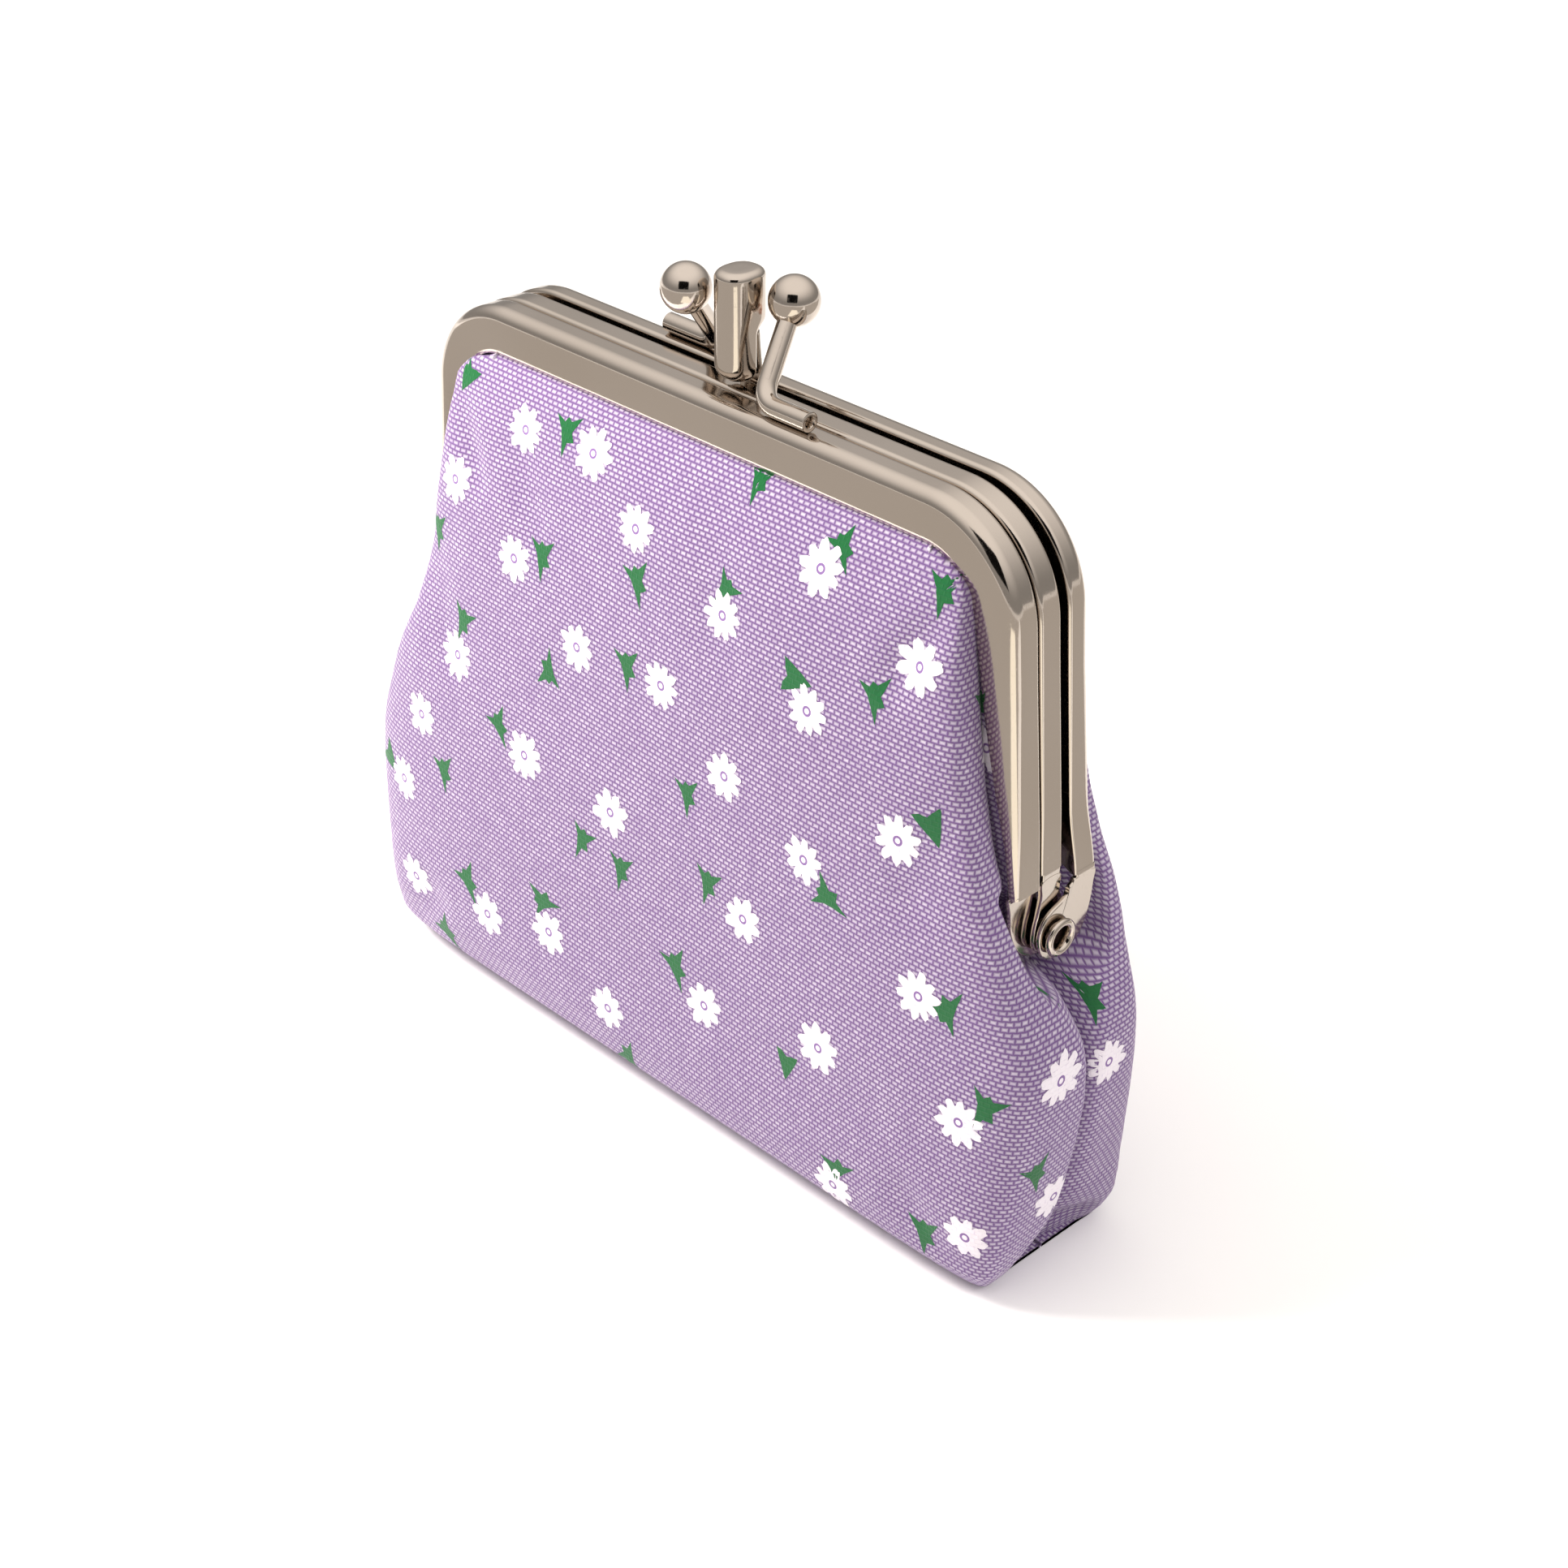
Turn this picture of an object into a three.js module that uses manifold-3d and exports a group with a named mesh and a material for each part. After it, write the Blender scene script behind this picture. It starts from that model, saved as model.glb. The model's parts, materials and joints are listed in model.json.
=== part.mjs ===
// Double-compartment snap-frame coin purse.
// Three stamped steel arches turn on one hollow rivet at each side. The middle arch carries the
// divider and the clasp post; the front and rear arches carry the cloth walls and a clasp ball each.
// Millimetres. X is the purse's width, Y its depth (front is -Y), Z is up, and Z = 0 is the flat base.

import * as THREE from 'three';
import { mergeVertices } from 'three/addons/utils/BufferGeometryUtils.js';
import Module from 'manifold-3d';

const wasm = await Module();
wasm.setup();

// ---- driving dimensions ------------------------------------------------------------------------

const HINGE_Z = 43.5; // the rivets' axis
const FRAME_TOP = 92.5; // top face of the closed arches
const TOP_HALF_WIDTH = 46; // where the leg line would meet the top line
const LEG_SPLAY = 0.08; // the legs lean out this much per millimetre going down
const CORNER_R = 13; // outer corner of an arch
const ARC_STEPS = 7;

const SHEET = 0.6; // steel of the channels
const CHANNEL = 5.5; // depth of a channel, from its web to its lips
const FRONT_BAR = { near: -6.0, far: -2.2, legEnd: 50, cut: [-7.0, -5.4] };
const MIDDLE_BAR = { near: -1.9, far: 1.3, legEnd: 51.5 };
const REAR_BAR = { near: 2.6, far: 6.0, legEnd: 50, cut: [5.4, 7.0] };

// The outer wall of the front and rear channels is cut away towards the hinge: how far it still
// reaches in from the web, by height.
const WALL_CUT = [{ z: 81, reach: 5.5 }, { z: 70, reach: 4.3 }, { z: 62, reach: 3 },
  { z: 55, reach: 1.6 }, { z: 49, reach: 1.1 }];

const TAB_R = 2.6; // round eye of the middle arch's hinge tab
// The rear arch's tab, as [y, height above the rivet]: it runs straight down from the leg, rounds
// off under the rivet, and has a hooked notch in front. The front arch's tab is its mirror image.
const WIDE_TAB = [
  [5.8, 8.5], [5.75, 4.5], [5.3, 1.4], [4.3, -0.9], [2.9, -2.3], [1.0, -2.9], [-1.0, -2.7], [-2.3, -1.6],
  [-2.8, 0.2], [-2.4, 2.0], [-1.2, 3.3], [0.6, 4.1], [1.7, 4.9], [2.0, 5.6], [2.8, 6.2], [2.8, 8.5],
];
const TAB_PLANES = { front: 47.6, middle: 48.55, rear: 49.5 }; // inner face of each tab
const SHANK_R = 1.5; // hinge rivet
const SHANK_CLEARANCE = 0.1;
const RIVET_BORE_R = 1.1;
const RIVET_RIM_R = 2.4;
const RIVET_RIM = 0.7; // thickness of a rolled rim
const HINGE_GAP = 0.3;

const BALL_R = 2.9;
const BALL_Z = 102.7;
const BALL_PASS = 5.45; // from the post's centre to a ball's centre, so that it just passes
const BALL_OVERLAP = 2.9; // how far each closed ball sits past the middle bar's centre
const ROD_R = 1.15; // clasp stem
const HEEL_OFFSET = 2.2; // the stem's bend stands this much further out than its ball
const FOOT_END = 15.6; // the foot's cut end, from the middle of the purse
const POST = { x: 0.6, y: 0, halfX: 2.45, halfY: 2.9, bottom: 92.8, top: 105.7 };
const POST_WAIST = { back: 0.8, top: 99.4 }; // below this height the post's back is cut away
const BRACE_GAP = 0.05; // brazed pieces are separate solids that just clear each other

const OUTER = 0.5; // printed canvas
const INTERLINING = 0.3; // felt stiffener
const LINING = 0.3; // plain cotton
const PLY_GAP = 0.2;
const MOUTH = CHANNEL + 0.5; // the bag's form starts this far inside an arch's outline
const RIM_REACH = 1.1; // the cloth stops this far from a channel's web
const BAG_TOP = 86.5; // where the cloth goes into the top channel
const CLOTH_END = 54; // the cloth leaves the legs' channels at this height
const SEAM_Y = 0.15; // half the gap between the front and rear halves
const RIM_FRONT = -FRONT_BAR.near - SHEET - 0.15; // front face of the cloth in its channel
const CORNER_POWER = 4.6; // roundness of the bag's plan: 2 is an ellipse, more is boxier

// The bag below the arches' legs: half width of its front bulge, half width at the seam or slit,
// half depth, and how far forward of the middle plane the bulge starts.
const BAG_PROFILE = [
  { z: 0, width: 50, seam: 50, depth: 9.2, start: SEAM_Y },
  { z: 4, width: 52.2, seam: 52.2, depth: 12.2, start: SEAM_Y },
  { z: 13, width: 55, seam: 55, depth: 14.6, start: SEAM_Y },
  { z: 26, width: 56.8, seam: 56.8, depth: 14.6, start: SEAM_Y },
  { z: 34, width: 55.4, seam: 54.4, depth: 14.1, start: SEAM_Y },
  { z: 37, width: 54.6, seam: 51.2, depth: 13.9, start: 2.5 },
  { z: 40.2, width: 53.5, seam: 45.8, depth: 13.6, start: 6.3 },
  { z: 44, width: 52.0, seam: 44.2, depth: 13.3, start: 6.3 },
];
const LEGS_Z = 50; // the arches' legs end here
const SLIT_Z = 40; // the side seams stop here, below the rivets
const DEPTH_AT_LEGS = 12.9; // half depth of the bag at the legs' lower ends
const BULGE_AT_LEGS = 6; // how far the bulge there reaches out past the arches' lips
const BULGE_START = 6.3; // it passes in front of the legs
const UPPER_STEPS = [0, 0.2, 0.5, 0.81, 0.92, 0.97, 1]; // from the legs' ends up
const BULGE_ENDS = 0.5; // the step where the cloth no longer reaches past the lips
const PLAN_STEPS = 14;

const STEEL = { color: 0xbcb0a5, metalness: 1, roughness: 0.16 };
const PRINT = { color: 0xc6b2d3, metalness: 0, roughness: 0.85 };
const FELT = { color: 0xf1eee6, metalness: 0, roughness: 0.95 };
const COTTON = { color: 0xe9e2ec, metalness: 0, roughness: 0.9 };
const PAPER = { color: 0xcdbb9a, metalness: 0, roughness: 0.95 };

// ---- helpers -----------------------------------------------------------------------------------

// A manifold solid from a closed geometry, turned outward if its faces point in.
function solid(geometry) {
  const bare = geometry.clone();
  bare.deleteAttribute('normal');
  bare.deleteAttribute('uv');
  const merged = mergeVertices(bare, 1e-4);
  const triVerts = Uint32Array.from(merged.index.array);
  const at = merged.attributes.position;
  const [a, b, c] = [new THREE.Vector3(), new THREE.Vector3(), new THREE.Vector3()];
  let volume = 0;
  for (let i = 0; i < triVerts.length; i += 3) {
    a.fromBufferAttribute(at, triVerts[i]);
    b.fromBufferAttribute(at, triVerts[i + 1]);
    c.fromBufferAttribute(at, triVerts[i + 2]);
    volume += a.dot(b.cross(c));
  }
  if (volume < 0) {
    triVerts.reverse();
  }
  const vertProperties = Float32Array.from(at.array);
  return new wasm.Manifold(new wasm.Mesh({ numProp: 3, vertProperties, triVerts }));
}

function node(name, body, look) {
  const mesh = body.getMesh();
  const geometry = new THREE.BufferGeometry();
  geometry.setAttribute('position', new THREE.BufferAttribute(mesh.vertProperties, 3));
  geometry.setIndex(new THREE.BufferAttribute(mesh.triVerts, 1));
  geometry.computeVertexNormals();
  const made = new THREE.Mesh(geometry, new THREE.MeshStandardMaterial(look));
  made.name = name;
  return made;
}

// An outline in the XZ plane, given as [x, z] pairs, with its thickness from y0 to y1.
function plate(outline, y0, y1) {
  const shape = new THREE.Shape(outline.map(([x, z]) => new THREE.Vector2(x, z)));
  const geometry = new THREE.ExtrudeGeometry(shape, { depth: y1 - y0, bevelEnabled: false });
  geometry.rotateX(Math.PI / 2);
  geometry.translate(0, y1, 0);
  return solid(geometry);
}

// An outline in the YZ plane, given as [y, z] pairs, with its thickness from x0 to x1.
function sidePlate(outline, x0, x1) {
  const shape = new THREE.Shape(outline.map(([y, z]) => new THREE.Vector2(y, z)));
  const geometry = new THREE.ExtrudeGeometry(shape, { depth: x1 - x0, bevelEnabled: false });
  geometry.rotateX(Math.PI / 2);
  geometry.rotateZ(Math.PI / 2);
  geometry.translate(x0, 0, 0);
  return solid(geometry);
}

function block(x0, x1, y0, y1, z0, z1) {
  const geometry = new THREE.BoxGeometry(x1 - x0, y1 - y0, z1 - z0);
  geometry.translate((x0 + x1) / 2, (y0 + y1) / 2, (z0 + z1) / 2);
  return solid(geometry);
}

// A stack of convex rings with the same number of points, closed by flat ends.
function loft(rings) {
  const count = rings[0].length;
  const points = rings.flat();
  const faces = [];
  for (let k = 0; k < rings.length - 1; k += 1) {
    for (let i = 0; i < count; i += 1) {
      const j = (i + 1) % count;
      const [a, b] = [k * count + i, k * count + j];
      faces.push(a, b, b + count, a, b + count, a + count);
    }
  }
  const last = (rings.length - 1) * count;
  for (let i = 1; i < count - 1; i += 1) {
    faces.push(0, i + 1, i, last, last + i, last + i + 1);
  }
  const geometry = new THREE.BufferGeometry().setFromPoints(points);
  geometry.setIndex(faces);
  return solid(geometry);
}

function rod(path, radius, sides, steps) {
  const section = new THREE.Shape();
  section.absarc(0, 0, radius, 0, 2 * Math.PI, false);
  const geometry = new THREE.ExtrudeGeometry(section, {
    steps,
    curveSegments: sides / 2,
    extrudePath: path,
  });
  return solid(geometry);
}

const mirrored = (body) => body.mirror([1, 0, 0]);

// ---- steel arches ------------------------------------------------------------------------------

const SLANT = Math.hypot(1, LEG_SPLAY);
const CORNER_Z = FRAME_TOP - CORNER_R;
const CORNER_X = TOP_HALF_WIDTH + LEG_SPLAY * CORNER_R - CORNER_R * SLANT;

// Outer edge of an arch's leg at a height, moved in by an inset.
const legX = (z, inset) => TOP_HALF_WIDTH + LEG_SPLAY * (FRAME_TOP - z) - inset * SLANT;

// The arch's line from its right foot over the top to its left foot, moved in by an inset.
function archLine(inset, legEnd) {
  const right = [[legX(legEnd, inset), legEnd]];
  const lean = Math.atan(LEG_SPLAY);
  for (let i = 0; i <= ARC_STEPS; i += 1) {
    const angle = lean + (Math.PI / 2 - lean) * (i / ARC_STEPS);
    const r = CORNER_R - inset;
    right.push([CORNER_X + r * Math.cos(angle), CORNER_Z + r * Math.sin(angle)]);
  }
  const left = right.map(([x, z]) => [-x, z]).reverse();
  return [...right, ...left];
}

function archBand(inset, innerInset, legEnd, y0, y1) {
  const outline = [...archLine(inset, legEnd), ...archLine(innerInset, legEnd).reverse()];
  return plate(outline, y0, y1);
}

// What is cut off a channel's outer wall along the right leg.
function wallCut([y0, y1]) {
  const edge = WALL_CUT.map(({ z, reach }) => [legX(z, reach), z]);
  const [top, foot] = [WALL_CUT[0].z, WALL_CUT[WALL_CUT.length - 1].z];
  return plate([...edge, [legX(foot, CHANNEL + 1), foot], [legX(top, CHANNEL + 1), top]], y0, y1);
}

// A channel bent into an arch, open towards the middle of the purse.
function channelArch({ near, far, legEnd, cut }) {
  const bar = archBand(0, CHANNEL, legEnd, near, far);
  const groove = archBand(SHEET, CHANNEL + 1, legEnd - 1, near + SHEET, far - SHEET);
  const channel = bar.subtract(groove);
  if (!cut) {
    return channel;
  }
  const offcut = wallCut(cut);
  return channel.subtract(offcut).subtract(mirrored(offcut));
}

function boreThrough() {
  const geometry = new THREE.CylinderGeometry(
    SHANK_R + SHANK_CLEARANCE, SHANK_R + SHANK_CLEARANCE, 20, 18);
  geometry.rotateZ(Math.PI / 2);
  geometry.translate(TAB_PLANES.middle, 0, HINGE_Z);
  return solid(geometry);
}

// Outline of the middle arch's tab: a neck inside the bar's own depth, and a round eye at the rivet.
function narrowTab(bar, neck) {
  const shoulder = HINGE_Z + 6.2;
  const eye = [];
  for (let i = 0; i <= 14; i += 1) {
    const angle = Math.PI * (0.25 - 1.5 * (i / 14));
    eye.push([TAB_R * Math.cos(angle), HINGE_Z + TAB_R * Math.sin(angle)]);
  }
  return [[neck.high, bar.legEnd + 2], [neck.high, shoulder], ...eye,
    [neck.low, shoulder], [neck.low, bar.legEnd + 2]];
}

// The flat tab below the right leg, joined to the leg by a short step into the tab's plane.
function hingeTab(bar, plane) {
  const neck = { low: bar.near + 0.2, high: bar.far - 0.2 };
  const side = Math.sign(bar.near + bar.far);
  const outline = bar.cut
    ? WIDE_TAB.map(([y, rise]) => [side * y, HINGE_Z + rise])
    : narrowTab(bar, neck);
  const web = legX(bar.legEnd, SHEET / 2);
  const step = block(Math.min(plane, web), Math.max(plane + SHEET, web), neck.low, neck.high,
    bar.legEnd, bar.legEnd + 2);
  return sidePlate(outline, plane, plane + SHEET).add(step).subtract(boreThrough());
}

function frame(bar, plane) {
  const tab = hingeTab(bar, plane);
  return channelArch(bar).add(tab).add(mirrored(tab));
}

// ---- hinge rivets ------------------------------------------------------------------------------

// A hollow rivet with a rolled rim at each end, closed around its bore.
function hingeRivet() {
  const inner = TAB_PLANES.front - HINGE_GAP;
  const outer = TAB_PLANES.rear + SHEET + HINGE_GAP;
  const profile = [
    [RIVET_BORE_R, inner - RIVET_RIM], [RIVET_RIM_R - 0.3, inner - RIVET_RIM],
    [RIVET_RIM_R, inner - RIVET_RIM / 2], [RIVET_RIM_R - 0.3, inner], [SHANK_R, inner],
    [SHANK_R, outer], [RIVET_RIM_R - 0.3, outer], [RIVET_RIM_R, outer + RIVET_RIM / 2],
    [RIVET_RIM_R - 0.3, outer + RIVET_RIM], [RIVET_BORE_R, outer + RIVET_RIM],
    [RIVET_BORE_R, inner - RIVET_RIM],
  ];
  const geometry = new THREE.LatheGeometry(profile.map(([r, x]) => new THREE.Vector2(r, x)), 18);
  geometry.rotateZ(-Math.PI / 2);
  geometry.translate(0, 0, HINGE_Z);
  return solid(geometry);
}

// ---- clasp -------------------------------------------------------------------------------------

// One ball and its bent stem. turn is 1 for the front arch's pair, and -1 for the rear arch's,
// which is the same pair turned half round.
function clasp(turn, bar) {
  const ball = new THREE.Vector3(POST.x + turn * BALL_PASS, turn * BALL_OVERLAP, BALL_Z);
  const footY = (bar.near + bar.far) / 2;
  const footZ = FRAME_TOP + ROD_R + BRACE_GAP;
  const heel = new THREE.Vector3(ball.x + turn * HEEL_OFFSET, footY, footZ);
  const footEnd = new THREE.Vector3(turn * FOOT_END, footY, footZ);
  const up = ball.clone().sub(heel).normalize();
  const along = footEnd.clone().sub(heel).normalize();
  const bend = 2.6;
  const path = new THREE.CurvePath();
  const footStart = heel.clone().addScaledVector(along, bend);
  const riseStart = heel.clone().addScaledVector(up, bend);
  const riseEnd = ball.clone().addScaledVector(up, -(BALL_R + BRACE_GAP));
  path.add(new THREE.LineCurve3(footEnd, footStart));
  path.add(new THREE.QuadraticBezierCurve3(footStart, heel, riseStart));
  path.add(new THREE.LineCurve3(riseStart, riseEnd));
  const sphere = new THREE.SphereGeometry(BALL_R, 16, 10);
  sphere.translate(ball.x, ball.y, ball.z);
  return { ball: solid(sphere), stem: rod(path, ROD_R, 10, 12) };
}

// An upright oval bar with a softly rounded top and a domed bottom, slimmer below the balls.
function claspPostHead() {
  const dome = 0.8;
  const shoulder = 0.3;
  const high = POST.top - POST.bottom;
  const profile = [new THREE.Vector2(0, 0)];
  for (let i = 1; i <= 5; i += 1) {
    const angle = (Math.PI / 2) * (i / 5);
    profile.push(new THREE.Vector2(Math.sin(angle), 2.2 * dome * (1 - Math.cos(angle))));
  }
  for (let i = 0; i <= 3; i += 1) {
    const angle = (Math.PI / 2) * (i / 3);
    const r = 1 - shoulder + shoulder * Math.cos(angle);
    profile.push(new THREE.Vector2(r, high - 0.7 + 0.7 * Math.sin(angle)));
  }
  profile.push(new THREE.Vector2(0, high));
  const geometry = new THREE.LatheGeometry(profile, 18);
  geometry.rotateX(Math.PI / 2);
  geometry.scale(POST.halfX, POST.halfY, 1);
  geometry.translate(POST.x, POST.y, POST.bottom);
  const offcut = block(POST.x - 3, POST.x + 3, POST_WAIST.back, 4, POST.bottom - 1, POST_WAIST.top);
  return solid(geometry).subtract(offcut);
}

// A flat strip brazed to the back of the middle bar, which holds the post's head.
function claspPostBracket() {
  const back = MIDDLE_BAR.far + BRACE_GAP;
  return plate([
    [POST.x - 1.2, 88.4], [POST.x + 1.2, 88.4], [POST.x + 1.7, 95], [POST.x + 1.5, 98.4],
    [POST.x + 0.8, 99.2], [POST.x - 0.8, 99.2], [POST.x - 1.5, 98.4], [POST.x - 1.7, 95],
  ], back, back + 0.7);
}

// ---- cloth -------------------------------------------------------------------------------------

// Half width of the opening inside the arches' lips, moved in by an inset.
function archHalfWidth(z, inset) {
  const r = CORNER_R - MOUTH - inset;
  const rise = Math.max(z - CORNER_Z, 0);
  return rise > 0 ? CORNER_X + Math.sqrt(Math.max(r * r - rise * rise, 0)) : legX(z, MOUTH + inset);
}

// The bag's form, moved in by an inset, row by row from its base.
function bagRows(inset) {
  const lower = BAG_PROFILE.map(({ z, width, seam, depth, start }, i) => ({
    z: i === 0 ? inset : Math.max(z, inset + 0.5 * i),
    width: width - inset,
    seam: seam - inset,
    depth: depth - inset,
    start: start > SEAM_Y ? start + inset : start,
  }));
  const upper = UPPER_STEPS.map((step) => {
    const z = LEGS_Z + (BAG_TOP - inset - LEGS_Z) * step;
    const depth = RIM_FRONT + (DEPTH_AT_LEGS - RIM_FRONT) * (1 - step ** 3.2) - inset;
    const seam = archHalfWidth(z, inset);
    const width = seam + BULGE_AT_LEGS * Math.max(1 - step / BULGE_ENDS, 0);
    return { z, width, seam, depth, start: Math.min(BULGE_START + inset, depth) };
  });
  return [...lower, ...upper];
}

// A plan section of the front half, from its back edge round the front. open runs it past the
// middle plane, so that it cuts the back of the form away.
function planRing({ z, width, seam, depth, start }, innerFace, open) {
  const rise = THREE.MathUtils.clamp((z - SLIT_Z) / (LEGS_Z - SLIT_Z), 0, 1);
  const back = Math.min(SEAM_Y + (RIM_FRONT - innerFace - SEAM_Y) * rise, start);
  const edge = open ? 1 : -back;
  const ring = [new THREE.Vector3(seam, edge, z), new THREE.Vector3(seam, -start, z)];
  for (let i = 0; i <= PLAN_STEPS; i += 1) {
    const angle = Math.PI * (i / PLAN_STEPS);
    const across = Math.sign(Math.cos(angle)) * Math.abs(Math.cos(angle)) ** (2 / CORNER_POWER);
    const out = i === PLAN_STEPS ? 0 : Math.sin(angle) ** (2 / CORNER_POWER);
    ring.push(new THREE.Vector3(width * across, -start - (depth - start) * out, z));
  }
  ring.push(new THREE.Vector3(-seam, -start, z), new THREE.Vector3(-seam, edge, z));
  return ring.reverse();
}

// The front half of the bag's form, moved in by an inset, from its base to the top channel.
function halfBag(inset, innerFace, open) {
  return loft(bagRows(inset).map((row) => planRing(row, innerFace, open)));
}

// One ply of the front half: a curved wall and base, with a rim that goes into the channel.
function frontPly(inset, thickness) {
  const innerFace = inset + thickness;
  const wall = halfBag(inset, innerFace, false).subtract(halfBag(innerFace, innerFace, true));
  const near = inset - RIM_FRONT;
  const rim = archBand(RIM_REACH, MOUTH + innerFace - 0.05, CLOTH_END, near, near + thickness);
  return wall.add(rim);
}

// One ply of the divider: a flat panel in the middle channel, sewn into the side seams below it.
function dividerPly(y0, y1) {
  const edge = [[49.2, 3], [52, 12], [53.6, 24], [52.6, 31], [48.5, 36], [42.3, 40], [42.3, CLOTH_END]];
  const right = [[46, 1.6], ...edge];
  const left = right.map(([x, z]) => [-x, z]).reverse();
  const lower = plate([...right, ...left], y0, y1);
  const window = archLine(RIM_REACH, CLOTH_END - 0.5);
  return lower.add(plate(window, y0, y1));
}

// Twisted paper cord that wedges the cloth in a channel.
function wedgeCord(y0, y1) {
  return archBand(RIM_REACH + 0.3, RIM_REACH + 1.9, CLOTH_END + 1, y0, y1);
}

// ---- assembly ----------------------------------------------------------------------------------

const backToFront = (body) => body.mirror([0, 1, 0]);

const purse = new THREE.Group();
purse.add(node('front_frame', frame(FRONT_BAR, TAB_PLANES.front), STEEL));
purse.add(node('middle_frame', frame(MIDDLE_BAR, TAB_PLANES.middle), STEEL));
purse.add(node('rear_frame', frame(REAR_BAR, TAB_PLANES.rear), STEEL));

const rivet = hingeRivet();
purse.add(node('right_hinge_rivet', rivet, STEEL));
purse.add(node('left_hinge_rivet', mirrored(rivet), STEEL));

const frontClasp = clasp(1, FRONT_BAR);
const rearClasp = clasp(-1, REAR_BAR);
purse.add(node('front_clasp_ball', frontClasp.ball, STEEL));
purse.add(node('front_clasp_stem', frontClasp.stem, STEEL));
purse.add(node('rear_clasp_ball', rearClasp.ball, STEEL));
purse.add(node('rear_clasp_stem', rearClasp.stem, STEEL));
purse.add(node('clasp_post_head', claspPostHead(), STEEL));
purse.add(node('clasp_post_bracket', claspPostBracket(), STEEL));

const plies = [
  ['outer_panel', 0, OUTER, PRINT],
  ['interlining', OUTER + PLY_GAP, INTERLINING, FELT],
  ['lining', OUTER + INTERLINING + 2 * PLY_GAP, LINING, COTTON],
];
for (const [name, inset, thickness, look] of plies) {
  const ply = frontPly(inset, thickness);
  purse.add(node(`front_${name}`, ply, look));
  purse.add(node(`rear_${name}`, backToFront(ply), look));
}

purse.add(node('divider_front_cloth', dividerPly(-1.15, -0.85), COTTON));
purse.add(node('divider_stiffener', dividerPly(-0.75, -0.4), FELT));
purse.add(node('divider_rear_cloth', dividerPly(-0.3, 0), COTTON));

purse.add(node('front_wedge_cord', wedgeCord(-3.65, -2.9), PAPER));
purse.add(node('middle_wedge_cord', wedgeCord(0.1, 0.6), PAPER));
purse.add(node('rear_wedge_cord', wedgeCord(3.3, 3.65), PAPER));

export default purse;
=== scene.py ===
# A double-compartment snap-frame coin purse: nickel arches with a ball clasp, and a daisy-print bag.
# Shapes are worked out in millimetres in the purse's own frame, and made in metres.

import json
import math

import bmesh
import bpy
import numpy as np
from mathutils import Matrix, Vector


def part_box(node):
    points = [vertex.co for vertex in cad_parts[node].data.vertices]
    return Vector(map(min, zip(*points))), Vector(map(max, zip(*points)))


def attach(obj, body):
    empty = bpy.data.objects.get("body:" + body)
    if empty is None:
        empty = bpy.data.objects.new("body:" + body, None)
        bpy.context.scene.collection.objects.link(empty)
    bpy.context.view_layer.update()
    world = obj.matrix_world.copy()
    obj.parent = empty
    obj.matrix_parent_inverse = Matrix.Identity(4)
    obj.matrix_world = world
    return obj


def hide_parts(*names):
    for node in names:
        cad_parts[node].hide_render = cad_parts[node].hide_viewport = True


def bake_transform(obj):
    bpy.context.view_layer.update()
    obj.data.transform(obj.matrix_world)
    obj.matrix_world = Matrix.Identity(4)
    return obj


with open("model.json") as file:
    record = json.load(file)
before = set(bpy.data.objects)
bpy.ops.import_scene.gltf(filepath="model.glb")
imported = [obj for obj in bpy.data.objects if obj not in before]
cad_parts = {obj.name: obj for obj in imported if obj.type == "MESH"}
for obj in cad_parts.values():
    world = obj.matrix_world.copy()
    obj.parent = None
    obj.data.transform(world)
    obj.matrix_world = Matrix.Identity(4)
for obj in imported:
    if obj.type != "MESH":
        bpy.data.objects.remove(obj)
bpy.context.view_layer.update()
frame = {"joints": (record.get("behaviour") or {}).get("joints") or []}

MM = 0.001


def box_mm(node):
    """Lowest and highest corner of a CAD node, in millimetres."""
    low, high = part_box(node)
    return np.array(low) / MM, np.array(high) / MM


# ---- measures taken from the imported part

FRONT_LOW, FRONT_HIGH = box_mm("front_frame")
REAR_HIGH = box_mm("rear_frame")[1]
FRAME_TOP = FRONT_HIGH[2]
BALL_LOW, BALL_HIGH = box_mm("front_clasp_ball")
REAR_BALL_LOW, REAR_BALL_HIGH = box_mm("rear_clasp_ball")
POST_LOW, POST_HIGH = box_mm("clasp_post_head")
BRACKET_LOW, BRACKET_HIGH = box_mm("clasp_post_bracket")
HINGE_Z = frame["joints"][0]["pos_m"][2] / MM

# ---- measures of the making

TOP_HALF_WIDTH = 46  # of an arch, before its corners are rounded
LEG_SPLAY = 0.08  # how much wider an arch gets for each millimetre down
CORNER_R = 13
SHEET = 0.6  # the steel's thickness
CHANNEL = 5.5  # how far a channel's walls reach in
FACE = SHEET - 0.01  # from a tab's inner plane to its outer face
SLANT = math.hypot(1, LEG_SPLAY)
CORNER_Z = FRAME_TOP - CORNER_R
CORNER_X = TOP_HALF_WIDTH + LEG_SPLAY * CORNER_R - CORNER_R * SLANT
RIM_REACH = 1.1  # from an arch's outer line in to the cloth's edge
MOUTH = 6.0  # from an arch's outer line in to where the cloth leaves the channel
MOUTH_Z = 86.4  # the top mouth of the channel
RIM_Z = 86.9  # above this the cloth lies flat in the channel
RIM_Y = 5.05  # the depth at which a wall lies in its channel
SEAM_Y = 0.15  # the depth of the side seam
SLIT_TOP = 54  # the free edge beside the hinge ends here


# ---- plain helpers

def in_scene(name, data):
    """A new object in the scene."""
    made = bpy.data.objects.new(name, data)
    bpy.context.scene.collection.objects.link(made)
    return made


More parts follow.
